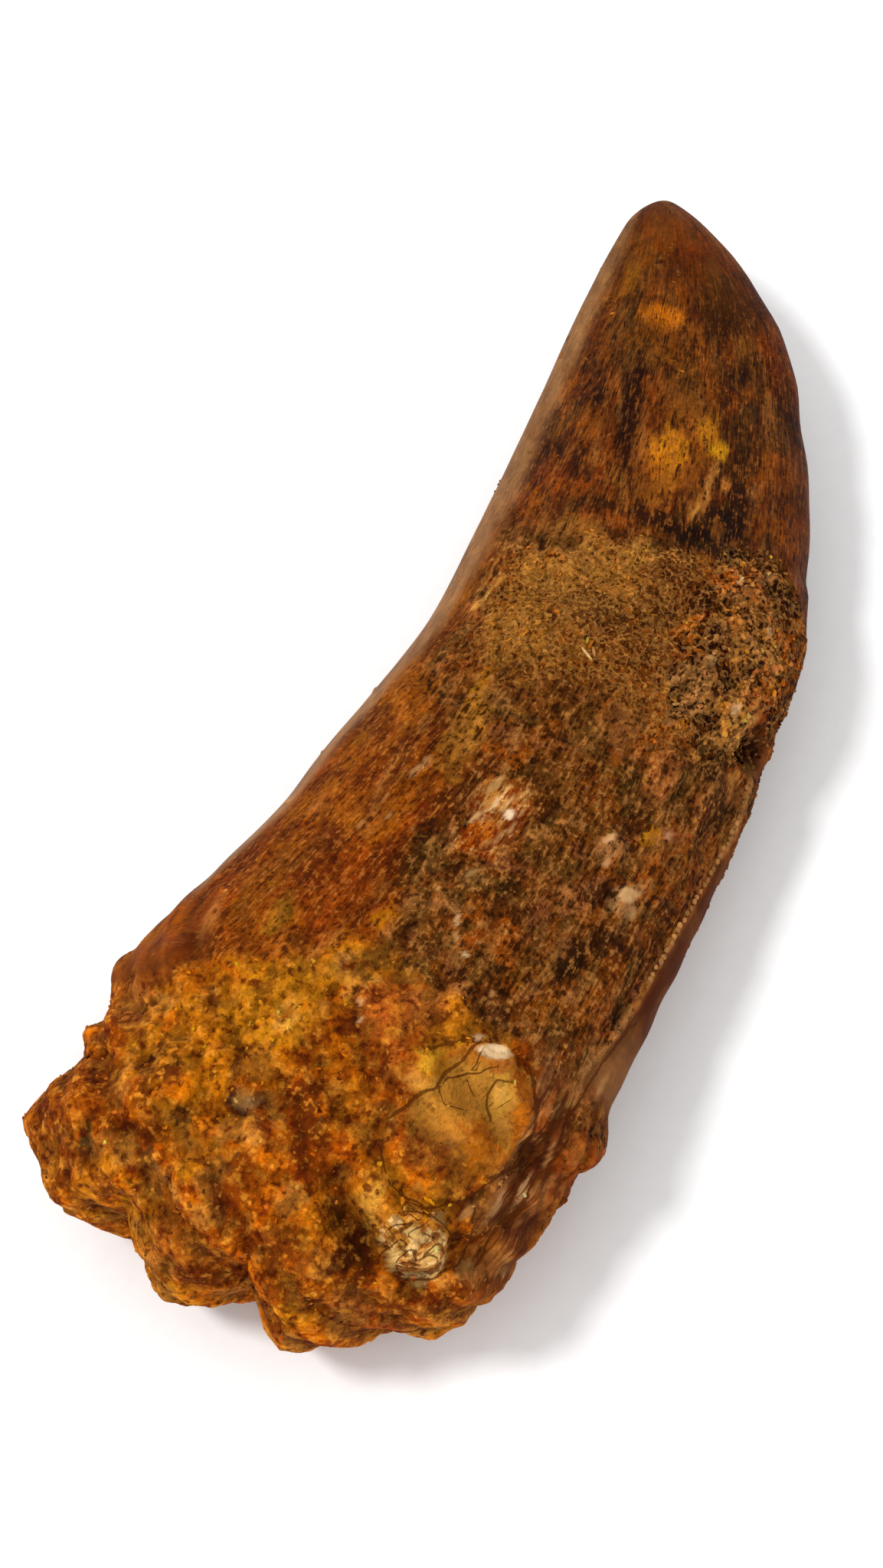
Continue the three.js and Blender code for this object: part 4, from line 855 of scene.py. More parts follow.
# Patches where a noise passes from one value to another: kind, colour, strength, noise, start, full.
# "rimmed" is a round noise with combed rims, and "along" is the way along the tooth, in decimetres.
PATCHES = [
    ("crust", (208, 138, 30), 0.75, "patchy", 0.05, 0.22),
    ("crust", (150, 70, 16), 0.8, "patchy", -0.08, -0.22),
    ("crust", (204, 112, 14), 0.8, "spotted", 0.20, 0.27),
    ("crust", (206, 148, 66), 0.6, "clotted", -0.24, -0.30),
    ("crust", (126, 84, 36), 0.6, "clotted", 0.28, 0.35),
    ("crust", (98, 44, 16), 0.7, "spotted", -0.42, -0.48),
    ("crust", (78, 32, 10), 0.7, "small", 0.48, 0.56),
    ("rough", (72, 43, 20), 0.65, "clotted", 0.18, 0.26),
    ("rough", (70, 38, 16), 0.6, "strokes", 0.28, 0.36),
    ("rough", (172, 118, 58), 0.6, "strokes", -0.32, -0.4),
    ("rough", (170, 112, 60), 0.7, "clotted", -0.24, -0.30),
    ("rough", (170, 90, 26), 0.6, "patchy", -0.12, -0.24),
    ("rough", (106, 78, 36), 0.65, "spotted", 0.12, 0.20),
    ("rough", (156, 100, 62), 0.5, "spotted", -0.34, -0.40),
    ("sand", (188, 130, 48), 0.65, "patchy", 0.0, 0.25),
    ("sand", (92, 48, 18), 0.7, "clotted", 0.10, 0.24),
    ("sand", (92, 58, 34), 0.5, "spotted", -0.24, -0.34),
    ("sand", (158, 82, 24), 0.5, "spotted", 0.26, 0.34),
    ("coarse", (184, 90, 20), 0.75, "patchy", 0.12, 0.2),
    ("coarse", (202, 150, 80), 0.7, "clotted", -0.04, -0.16),
    ("coarse", (198, 134, 42), 0.6, "spotted", 0.2, 0.3),
    ("coarse", (48, 26, 12), 0.8, "spotted", -0.14, -0.26),
    ("coarse", (84, 46, 22), 0.6, "clotted", 0.16, 0.26),
    ("crown", (66, 35, 16), 0.7, "rimmed", 0.14, 0.19),
    ("crown", (150, 84, 22), 0.6, "rimmed", -0.2, -0.25),
    ("crown", (98, 66, 28), 0.6, "banded", 0.16, 0.21),
    ("crown", (130, 62, 16), 0.6, "banded", -0.2, -0.26),
    ("tip", (122, 64, 20), 0.6, "patchy", 0.0, 0.3),
    ("tip", (86, 42, 18), 0.5, "clotted", 0.1, 0.3),
    ("fibrous", (104, 46, 12), 0.65, "rimmed", 0.14, 0.2),
    ("fibrous", (184, 110, 24), 0.6, "rimmed", -0.14, -0.22),
    ("fibrous", (160, 80, 16), 0.6, "banded", -0.16, -0.26),
    ("fibrous", (62, 30, 12), 0.6, "strokes", 0.3, 0.38),
    ("fibrous", (186, 124, 62), 0.6, "strokes", -0.36, -0.44),
    ("crown", (56, 30, 14), 0.6, "strokes", 0.3, 0.38),
    ("crown", (176, 114, 50), 0.6, "strokes", -0.38, -0.46),
    ("flank", (70, 36, 18), 0.6, "layers", -0.1, -0.3),
    ("flank", (124, 76, 38), 0.5, "layers", 0.15, 0.3),
    ("flank", (142, 98, 58), 0.8, "along", 0.32, 0.26),
    ("bevel", (136, 92, 52), 0.6, "banded", 0.04, 0.24),
    ("bevel", (180, 136, 86), 0.5, "strokes", -0.04, -0.3),
    ("strata", PURPLE_BROWN, 0.6, "sheets", -0.2, -0.28),
    ("strata", (192, 142, 84), 0.85, "sheets", 0.14, 0.20),
    ("strata", (158, 84, 36), 0.6, "clotted", 0.12, 0.2),
    ("strata", PURPLE_BROWN, 0.6, "layers", 0.22, 0.3),
    ("apron", (96, 52, 30), 0.75, "spotted", 0.16, 0.26),
    ("apron", (176, 112, 60), 0.6, "clotted", -0.1, -0.3),
    ("apron", (122, 62, 24), 0.6, "patchy", 0.0, 0.2),
    ("shoulder", (104, 52, 26), 0.7, "clotted", 0.06, 0.2),
    ("shoulder", (156, 98, 56), 0.6, "patchy", -0.05, -0.2),
    ("plate", (194, 138, 58), 0.7, "patchy", -0.1, 0.1),
    ("plate", (190, 108, 26), 0.8, "clotted", 0.08, 0.18),
    ("plate", (150, 94, 34), 0.45, "spotted", 0.2, 0.32),
    ("plate", (206, 148, 66), 0.6, "spotted", -0.2, -0.3),
    ("cream", (238, 208, 144), 0.9, "spotted", -0.05, -0.15),
    ("cream", (160, 104, 46), 0.7, "spotted", 0.34, 0.44),
    ("chip", (224, 168, 94), 0.85, "strokes", 0.10, 0.2),
    ("chip", (146, 70, 20), 0.85, "strokes", -0.18, -0.28),
]

CARINA_COLOUR = (186, 136, 84)
FLAKE_SHAPE = 1.5       # between a lozenge, 1, and an oval, 2
FLAKE_RIM = 0.08        # half width over which a flake's colour fades out


def paint_skin(points, kinds):
    """Colour of every point: the bare surface's colour along the tooth, the crusts over it, then the
    stains one by one, each an oval whose rim wanders with the noise, and the crisp flakes last."""
    x, y, _ = np.moveaxis(points, -1, 0)
    knots = np.array([place for place, _ in ALONG_COLOURS], float)
    shades = np.array([stone(shade) for _, shade in ALONG_COLOURS])
    colour = np.stack([np.interp(x, knots, shades[:, k]) for k in range(3)], -1)

    def lay(over, share):
        nonlocal colour
        colour = colour + (stone(over) - colour) * np.clip(share, 0, 1)[..., None]

    noises = {name: cloud(points, *numbers) for name, numbers in ROUND_NOISES.items()}
    noises.update({name: streaks(points, kinds, *numbers) for name, numbers in LONG_NOISES.items()})
    noises["along"] = x / 100
    comb = streaks(points, kinds, 2.4, 0.45, 77)
    noises["rimmed"] = cloud(np.stack([x + 1.3 * comb, y, 0 * x], -1), 2.8, 105, 3)
    for kind, over, strength in GROUNDS:
        lay(over, strength * getattr(kinds, kind))
    for kind, over, strength, noise, start, full in PATCHES:
        lay(over, strength * getattr(kinds, kind) * ramp(noises[noise], start, full))
    wander_x, wander_y = [
        0.6 * cloud(points, 2.2, seed, 2) + 0.3 * cloud(points, 0.7, seed + 1) for seed in (91, 95)]
    stain_x = x + wander_x + comb * (0.3 * kinds.crown + 0.8 * kinds.fibrous)
    stain_y = y + wander_y
    fray = 0.3 * cloud(points, 0.6, 97, 2)
    for cx, cy, rx, ry, turn, over, strength, softness in STAINS:
        inside = ramp(1.1 + fray - oval(stain_x, stain_y, cx, cy, rx, ry, turn), 0, 0.6 * softness + 0.05)
        lay(over, strength * inside * kinds.upper)
    carina = distance_to(CARINA, x, y)
    worn = ramp(noises["spotted"], -0.4, 0.1)
    lay(CARINA_COLOUR, 0.8 * worn * ramp(carina + 0.2 * noises["small"], 0.30, 0.10) * kinds.upper)
    flake_x = x + 0.15 * cloud(points, 0.8, 101, 2)
    flake_y = y + 0.15 * cloud(points, 0.8, 103, 2)
    flake_share = np.zeros(x.shape)
    for cx, cy, rx, ry, turn, over in FLAKES:
        rim = (1 - oval(flake_x, flake_y, cx, cy, rx, ry, turn, FLAKE_SHAPE)) * min(rx, ry)
        inside = ramp(rim, -FLAKE_RIM, FLAKE_RIM) * kinds.upper
        lay(over, 0.95 * inside)
        flake_share = np.maximum(flake_share, inside)
    return colour, flake_share


# ---- meshes ---------------------------------------------------------------------------------------

def to_row(points):
    """From the tooth's drawing, in millimetres, to the row's frame, in metres."""
    return (points - (*FOOTPRINT_CENTRE, 0)) * MM


def make_mesh(name, vertices, faces, colours=None, values=None, vectors=None, smooth=True):
    """An object at the origin, with named attributes at its points: colours, numbers and vectors."""
    mesh = bpy.data.meshes.new(name)
    mesh.vertices.add(len(vertices))
    mesh.vertices.foreach_set("co", vertices.astype(np.float32).ravel())
    sides = faces.shape[1]
    mesh.loops.add(faces.size)
    mesh.loops.foreach_set("vertex_index", faces.astype(np.int32).ravel())
    mesh.polygons.add(len(faces))
    mesh.polygons.foreach_set("loop_start", np.arange(0, faces.size, sides, dtype=np.int32))
    mesh.update(calc_edges=True)
    mesh.polygons.foreach_set("use_smooth", np.full(len(faces), smooth))
    for key, data in (colours or {}).items():
        layer = mesh.attributes.new(key, "FLOAT_COLOR", "POINT")
        rgba = np.concatenate([data, np.ones((len(data), 1))], axis=1)
        layer.data.foreach_set("color", rgba.astype(np.float32).ravel())
    for key, data in (values or {}).items():
        layer = mesh.attributes.new(key, "FLOAT", "POINT")
        layer.data.foreach_set("value", data.astype(np.float32).ravel())
    for key, data in (vectors or {}).items():
        layer = mesh.attributes.new(key, "FLOAT_VECTOR", "POINT")
        layer.data.foreach_set("vector", data.astype(np.float32).ravel())
    thing = bpy.data.objects.new(name, mesh)
    bpy.context.scene.collection.objects.link(thing)
    return thing


def ring_faces(rings, around):
    """Triangles between the rings, and a fan to the pole at each end. Vertex 0 is the first pole,
    and the last vertex is the other one."""
    i, j = np.meshgrid(np.arange(rings - 1), np.arange(around), indexing="ij")
    here, beside = 1 + i * around + j, 1 + i * around + (j + 1) % around
    ahead, across = here + around, beside + around
    quads = np.stack([here, beside, across, here, across, ahead], -1).reshape(-1, 3)
    j = np.arange(around)
    first = np.stack([0 * j, 1 + (j + 1) % around, 1 + j], -1)
    base = 1 + (rings - 1) * around
    last = np.stack([base + j, base + (j + 1) % around, 0 * j + 1 + rings * around], -1)
    return np.concatenate([first, quads, last])


def with_poles(grid, first, last):
    """A grid of rings as a plain list of points, with the two poles' values at its ends."""
    flat = grid.reshape(grid.shape[0] * grid.shape[1], -1)
    return np.concatenate([np.reshape(first, (1, -1)), flat, np.reshape(last, (1, -1))])


FIBRE_GIRTH = 14.0      # radius that the angle round the tooth is rolled on for the fibres
CAVITY_REACH = 4        # cells over which the mean height is taken
CAVITY_FULL = 0.3       # a point this far below the mean, in millimetres, is fully a cavity, in full painted shade


def build_skin():
    """The tooth's finished surface, and what the grains and the beads need to sit on it."""
    plain, v = plain_rings()
    facing = outward(plain)
    coarse = plain + facing * coarse_relief(plain, facing[..., 2])[..., None]
    normal = outward(coarse)
    kinds = Kinds(coarse, normal[..., 2])
    crack_aside, crack_near = crack_lines(coarse, kinds)
    relief = fine_relief(coarse, kinds, crack_near)
    skin = coarse + normal * relief[..., None]
    skin[..., 2] = np.maximum(skin[..., 2], 0)
    colour, flakes = paint_skin(coarse, kinds)
    colours = {"paint": colour, "tops": blend(kinds, TOPS), "gaps": blend(kinds, GAPS)}
    standing = np.sum((skin - plain) * facing, -1)
    # depth below the mean height around: the material paints shade there, and light on raised points
    cavity_shade = np.clip((blurred(standing, CAVITY_REACH) - standing) / CAVITY_FULL, -1, 1)
    turn = v + 0 * plain[..., 0]
    fibre = np.stack([plain[..., 0], FIBRE_GIRTH * np.cos(turn), FIBRE_GIRTH * np.sin(turn)], -1) * MM
    own = 1 - np.clip(kinds.smooth + flakes, 0, 1)
    values = {
        "crust": kinds.crust * own * (1 - 0.5 * kinds.apron),
        "rough": kinds.rough * own,
        "sand": kinds.sand * own,
        "coarse": kinds.coarse * own,
        "chip": kinds.chip * own,
        "fibrous": kinds.fibrous * own * (1 - 0.85 * kinds.shoulder),
        "crown": kinds.crown * own * (1 - 0.5 * kinds.tip),
        "plate": kinds.plate,
        "cream": kinds.cream * (1 - 0.7 * flakes),
        "strata": kinds.strata * own,
        "bevel": kinds.bevel,
        "even": 1 - own,
        "crack_aside": crack_aside,
        "crack_near": crack_near,
        "cavity_shade": cavity_shade * (1 - 0.6 * kinds.chip),
        "gloss": np.clip(kinds.crown + kinds.bevel + 0.4 * kinds.plate + 0.5 * kinds.flank, 0, 1),
    }
    pole = root_points(np.array(math.pi / 2), np.array(0.0))
    thing = make_mesh(
        "tooth_surface", to_row(with_poles(skin, pole, (TIP_X, *TIP_POINT))),
        ring_faces(len(skin), AROUND),
        {key: with_poles(grid, grid[0, 0], grid[-1, 0]) for key, grid in colours.items()},
        {key: with_poles(grid, grid[0, 0], grid[-1, 0]) for key, grid in values.items()},
        {"fibre": with_poles(fibre, fibre[0, 0], fibre[-1, 0])})
    return thing, {"points": skin, "normal": outward(skin), "colour": colour, "kinds": kinds}


def frames_on(normals, headings):
    """Three axes for each bead: along its heading, across it, and out of the skin."""
    across = np.cross(normals, headings)
    across /= np.linalg.norm(across, axis=1, keepdims=True)
    return np.stack([np.cross(across, normals), across, normals], axis=1)


def beads(centres, axes, radii, rings, around, jitter, rng):
    """Closed beads joined as one mesh: each a ball of rings drawn out to its radii along its axes,
    with every vertex moved in or out at random by up to jitter of the radius."""
    latitude = math.pi * (np.arange(1, rings + 1) / (rings + 1) - 0.5)
    turn = TAU * (np.arange(around) + 0.5 * (np.arange(rings)[:, None] % 2)) / around
    level = latitude[:, None]
    ball = np.stack([np.sin(level) + 0 * turn, np.cos(level) * np.cos(turn),
                     np.cos(level) * np.sin(turn)], -1)
    ball = with_poles(ball, (-1, 0, 0), (1, 0, 0))
    shape = ball[None] * (1 + jitter * rng.uniform(-1, 1, (len(centres), len(ball), 1)))
    vertices = centres[:, None] + np.einsum("nkc,nc,ncd->nkd", shape, radii, axes)
    faces = ring_faces(rings, around)[None] + (np.arange(len(centres)) * len(ball))[:, None, None]
    return vertices.reshape(-1, 3), faces.reshape(-1, 3), len(ball)


# Grains cemented to the skin: name, the kind of surface they lie on, count, smallest and largest
# width, how many times as long as wide, share of pale tan in the pale ones, seed.
GRAINS = [
    ("sand_grains", "sand", 3600, (0.14, 0.28), 2.2, 0.35, 21),
    ("coarse_grains", "coarse", 700, (0.22, 0.45), 1.5, 0.6, 22),
    ("root_crumbs", "crumbly", 700, (0.18, 0.40), 1.5, 0.2, 23),
]
PALE_ONES = 1 / 3
BRIGHTEST_GRAIN = 0.6


def scatter_grains(ground, name, kind, count, sizes, slender, pale, seed):
    """Grains of one sort: places drawn at random by area and the share of their kind of surface,
    sizes drawn towards the smallest, each lying along the skin half sunk. A grain's colour is the
    skin's, changed at random, and on one in three it is turned to pale tan by the share pale."""
    rng = np.random.default_rng(seed)
    points, normal, colour = ground["points"], ground["normal"], ground["colour"]
    ahead = np.diff(points, axis=0)
    beside = (np.roll(points, -1, axis=1) - points)[:-1]
    area = np.linalg.norm(np.cross(beside, ahead), axis=-1) * getattr(ground["kinds"], kind)[:-1]
    cell = rng.choice(area.size, count, p=(area / area.sum()).ravel())
    i, j = np.unravel_index(cell, area.shape)
    step = rng.random((2, count, 1))
    out = normal[i, j]
    smallest, largest = sizes
    size = smallest * (largest / smallest) ** rng.random(count) ** 1.5
    shape = np.array([slender, 1.0, 0.8]) * rng.uniform(0.75, 1.2, (count, 3))
    radii = size[:, None] / 2 * shape
    centres = points[i, j] + step[0] * ahead[i, j] + step[1] * beside[i, j]
    axes = frames_on(out, rng.normal(size=(count, 3)))
    centres[:, 2] = np.maximum(centres[:, 2], size * slender * 0.6)
    vertices, faces, each = beads(centres, axes, radii, 2, 6, 0.4, rng)
    tone = np.exp(rng.normal(0.05, 0.4, (count, 1))) * rng.uniform(0.92, 1.08, (count, 3))
    paint = np.clip(colour[i, j] * tone, 0, BRIGHTEST_GRAIN)
    whitened = pale * (rng.random((count, 1)) < PALE_ONES) * rng.uniform(0.5, 1, (count, 1))
    paint = paint + (stone(PALE_TAN) - paint) * whitened
    return make_mesh(name, to_row(vertices), faces, {"paint": np.repeat(paint, each, axis=0)}, smooth=False)


def skin_under(ground, places):
    """The skin's point and normal on the upper face under each x, y."""
    points, normal = ground["points"], ground["normal"]
    hidden = np.where(normal[..., 2] > 0.1, 0, np.inf)
    found = [np.unravel_index(np.argmin(np.hypot(points[..., 0] - x, points[..., 1] - y) + hidden),
                              hidden.shape) for x, y in places]
    i, j = np.array(found).T
    return points[i, j], normal[i, j]


# The cutting beads of the front edge.
BEADS_FROM, BEADS_TO, BEAD_PITCH = 33.5, 51.0, 0.55
BEAD_RADII = (0.22, 0.22, 0.18)
BEAD_HEADING = (1.0, -0.12, 0.0)
BEAD_LIFT = 0.06
BEAD_COLOUR = (196, 146, 88)


def cutting_beads(ground):
    """The worn denticles of the front edge: one bead on the carina every pitch."""
    rng = np.random.default_rng(5)
    x = np.arange(BEADS_FROM, BEADS_TO, BEAD_PITCH)
    y = np.interp(x, *np.transpose(CARINA))
    centres, out = skin_under(ground, np.stack([x, y], -1))
    axes = frames_on(out, np.tile(BEAD_HEADING, (len(x), 1)))
    radii = np.array(BEAD_RADII) * rng.uniform(0.8, 1.15, (len(x), 3))
    vertices, faces, each = beads(centres + BEAD_LIFT * out, axes, radii, 5, 8, 0.06, rng)
    paint = stone(BEAD_COLOUR) * rng.uniform(0.55, 1.1, (len(x), 1))
    return make_mesh("cutting_beads", to_row(vertices), faces, {"paint": np.repeat(paint, each, axis=0)})


# Bits of straw caught in the sand: x, y, heading in degrees, length, colour.
STRAWS = [(53.8, -7.3, 56, 1.3, (222, 184, 120)), (54.3, -7.8, 30, 0.9, (176, 128, 80)),
          (54.9, -7.1, 10, 0.5, (190, 164, 60))]
STRAW_RADII = (0.13, 0.1)
STRAW_LIFT = 0.12


def straw_bits(ground):
    """Slim round splinters lying on the sand."""
    rng = np.random.default_rng(6)
    centres, out = skin_under(ground, [(x, y) for x, y, *_ in STRAWS])
    turn = np.radians([heading for _, _, heading, _, _ in STRAWS])
    axes = frames_on(out, np.stack([np.cos(turn), np.sin(turn), 0 * turn], -1))
    radii = np.array([(length / 2, *STRAW_RADII) for _, _, _, length, _ in STRAWS])
    vertices, faces, each = beads(centres + STRAW_LIFT * out, axes, radii, 5, 8, 0.05, rng)
    paint = np.array([stone(colour) for *_, colour in STRAWS])
    return make_mesh("straw_bits", to_row(vertices), faces, {"paint": np.repeat(paint, each, axis=0)})


# ---- materials ------------------------------------------------------------------------------------

# Random light and dark, and random hue, of one grain or flake: random value it starts at, multiplier.
GRAIN_TONES = [(0.0, (0.50, 0.44, 0.42)), (0.15, (0.76, 0.72, 0.70)), (0.38, (1.0, 1.0, 1.0)),
               (0.66, (1.22, 1.22, 1.2)), (0.88, (1.5, 1.6, 1.7))]
GRAIN_HUES = [(0.0, (1.14, 0.82, 0.66)), (0.25, (1.0, 1.0, 1.0)), (0.5, (1.0, 1.07, 0.8)),
              (0.72, (0.98, 0.92, 1.0)), (0.86, (1.16, 1.04, 0.9))]
FLAKE_TONES = [(0.0, (0.40, 0.24, 0.16)), (0.2, (0.76, 0.58, 0.40)), (0.4, (1.0, 0.9, 0.75)),
               (0.6, (1.15, 1.2, 1.3)), (0.8, (1.3, 1.5, 1.9))]
RAMP_SCALE = 4.0        # a colour ramp's stops hold a quarter of the multiplier


class Nodes:
    """Short names for the nodes of one material."""

    def __init__(self, material):
        self.tree = material.node_tree
        self.tree.nodes.clear()
        self.coordinates = self.add("ShaderNodeTexCoord").outputs["Object"]

    def plug(self, socket, value):
        """Links a socket, or sets its number or colour."""
        if isinstance(value, bpy.types.NodeSocket):
            self.tree.links.new(value, socket)
        elif socket.type == "RGBA":
            socket.default_value = (*value, 1.0)
        else:
            socket.default_value = value

    def add(self, kind, inputs=(), **settings):
        """A node of that kind, with its settings made and its inputs plugged."""
        node = self.tree.nodes.new(kind)
        for key, value in settings.items():
            setattr(node, key, value)
        for key, value in dict(inputs).items():
            self.plug(node.inputs[key], value)
        return node

    def attribute(self, name, output="Fac"):
        """What the piece's points say under that name."""
        return self.add("ShaderNodeAttribute", attribute_name=name).outputs[output]

    def stretched(self, at, size_mm, stretch):
        """Coordinates in which a cell of a pattern is size_mm wide, and stretch times as long."""
        each = 1 / (size_mm * MM)
        return self.add("ShaderNodeMapping", {
            "Vector": at, "Scale": (each / stretch, each, each)}).outputs["Vector"]

    def noise(self, size_mm, detail, roughness, stretch=1.0, at=None, output="Fac"):
        """Noise whose blobs are about size_mm across, and stretch times as long."""
        return self.add("ShaderNodeTexNoise", {
            "Vector": self.stretched(at or self.coordinates, size_mm, stretch), "Scale": 1.0,
            "Detail": detail, "Roughness": roughness}).outputs[output]

    def wobbled(self, at, size_mm, reach_mm):
        """Coordinates pushed about by noise of that size, by up to half the reach."""
        push = self.noise(size_mm, 2.0, 0.5, output="Color")
        centred = self.add("ShaderNodeVectorMath", {0: push, 1: (0.5, 0.5, 0.5)}, operation="SUBTRACT")
        scaled = self.add("ShaderNodeVectorMath", {0: centred.outputs[0], "Scale": reach_mm * MM},
                          operation="SCALE")
        return self.add("ShaderNodeVectorMath", {0: at, 1: scaled.outputs[0]}, operation="ADD").outputs[0]

    def cells(self, at, size_mm, stretch=1.0):
        """Irregular cells about size_mm across: distance from the middle, and two random numbers."""
        cell = self.add("ShaderNodeTexVoronoi", {
            "Vector": self.stretched(at, size_mm, stretch), "Scale": 1.0})
        parts = self.add("ShaderNodeSeparateColor", {"Color": cell.outputs["Color"]})
        return cell.outputs["Distance"], parts.outputs["Red"], parts.outputs["Green"]

    def rims(self, at, size_mm, stretch):
        """Thin lines between irregular cells about size_mm across: 1 on the line, 0 beside it."""
        cell = self.add("ShaderNodeTexVoronoi", {
            "Vector": self.stretched(at, size_mm, stretch), "Scale": 1.0}, feature="DISTANCE_TO_EDGE")
        return self.between(cell.outputs["Distance"], 0.09, 0.02)

    def between(self, value, low, high, to_low=0.0, to_high=1.0):
        """value taken smoothly from low..high to to_low..to_high."""
        return self.add("ShaderNodeMapRange", {
            "Value": value, "From Min": low, "From Max": high, "To Min": to_low, "To Max": to_high},
            interpolation_type="SMOOTHSTEP").outputs["Result"]

    def math(self, operation, a, b=0.0):
        """One sum on two numbers."""
        return self.add("ShaderNodeMath", {0: a, 1: b}, operation=operation).outputs[0]

    def times(self, a, b):
        """The product of two numbers."""
        return self.math("MULTIPLY", a, b)

    def plus(self, *terms):
        """The sum of all the terms."""
        total = terms[0]
        for term in terms[1:]:
            total = self.math("ADD", total, term)
        return total

    def mix(self, share, a, b, blend="MIX"):
        """Colour a turned into colour b, or multiplied by it, by share."""
        return self.add("ShaderNodeMix", {0: share, 6: a, 7: b}, data_type="RGBA",
                        blend_type=blend).outputs[2]

    def scaled(self, colour, factor):
        """colour made lighter or darker by a number."""
        return self.add("ShaderNodeVectorMath", {0: colour, "Scale": factor}, operation="SCALE").outputs[0]

    def curls(self, size_mm, half_width):
        """Thin winding lines about size_mm apart, where noise crosses its middle value: 1 on the
        line, and 0 beside it."""
        away = self.math("ABSOLUTE", self.math("SUBTRACT", self.noise(size_mm, 1.0, 0.5), 0.5))
        return self.between(away, half_width, half_width * 0.25)

    def pick(self, value, stops):
        """The multiplier that a random value picks from the stops, with hard changes between them."""
        node = self.add("ShaderNodeValToRGB", {"Fac": value})
        node.color_ramp.interpolation = "CONSTANT"
        elements = node.color_ramp.elements
        while len(elements) < len(stops):
            elements.new(0.5)
        for element, (place, colour) in zip(elements, stops):
            element.position = place
            element.color = (*[part / RAMP_SCALE for part in colour], 1.0)
        return self.scaled(node.outputs["Color"], RAMP_SCALE)


def new_material(name):
    """An empty material made of nodes."""
    material = bpy.data.materials.new(name)
    material.use_nodes = True
    return material


# Patterns of lumps: reach either side of the middle value at which the noise is full, size in
# millimetres, detail, roughness, and for the second table how far it is drawn out along the fibres.
ROUND_LUMPS = {"large": (0.18, 1.3, 3, 0.6), "medium": (0.12, 0.6, 2, 0.55), "small": (0.13, 0.36, 1, 0.5)}
LONG_LUMPS = {"stroke": (0.16, 0.28, 2, 0.5, 5.0), "streak": (0.15, 0.70, 3, 0.6, 4.5),
              "scratch": (0.13, 0.19, 1, 0.5, 4.5)}
SPARSE_LUMPS = ("stroke", "scratch")        # cubed, so that only their strongest parts show

# How much of each pattern of lumps shows on each kind of surface.
LUMP_SHARES = {
    "large": {"crust": 0.35, "rough": 0.30, "sand": 0.40, "coarse": 0.35, "plate": 0.15, "cream": 0.3},
    "medium": {"crust": 0.35, "rough": 0.30, "sand": 0.20, "coarse": 0.50, "fibrous": 0.25, "crown": 0.2,
               "cream": 0.3},
    "small": {"crust": 0.10, "rough": 0.40, "sand": 0.70, "coarse": 0.50, "fibrous": 0.35, "crown": 0.25,
              "chip": 0.4, "plate": 0.3, "bevel": 0.15},
    "granule": {"crust": 0.32, "rough": 0.25, "sand": 0.25, "coarse": 0.60, "fibrous": 0.2, "plate": 0.1},
    "curd": {"crust": 0.30, "rough": 0.15, "coarse": 0.35, "cream": 0.6},
    "stroke": {"rough": 0.45, "fibrous": 0.35, "crown": 0.30, "chip": 0.8, "strata": 0.1, "bevel": 0.25},
    "streak": {"rough": 0.40, "fibrous": 0.20, "crown": 0.25, "chip": 0.3, "strata": 0.3, "bevel": 0.3},
    "scratch": {"rough": 0.35, "fibrous": 0.45, "crown": 0.60, "chip": 0.6, "strata": 0.1, "bevel": 0.3},
}

# How far the coarse crust leans towards its dark gaps, and the cream lump towards its pale tops.
LEANING = {"coarse": -0.4, "cream": 0.3}

# How much of the crisp round patches, and of those drawn out along the fibres, shows on each kind.
BLOT_SHARES = {"crust": 0.5, "rough": 0.35, "sand": 0.35, "coarse": 0.4, "plate": 0.5}
SMEAR_SHARES = {"fibrous": 0.3, "crown": 0.7, "rough": 0.4, "strata": 0.2}

CRACK_COLOUR = (88, 46, 20)
SPECULAR = 0.04         # nearly matt all over; the polished parts differ by their lower roughness


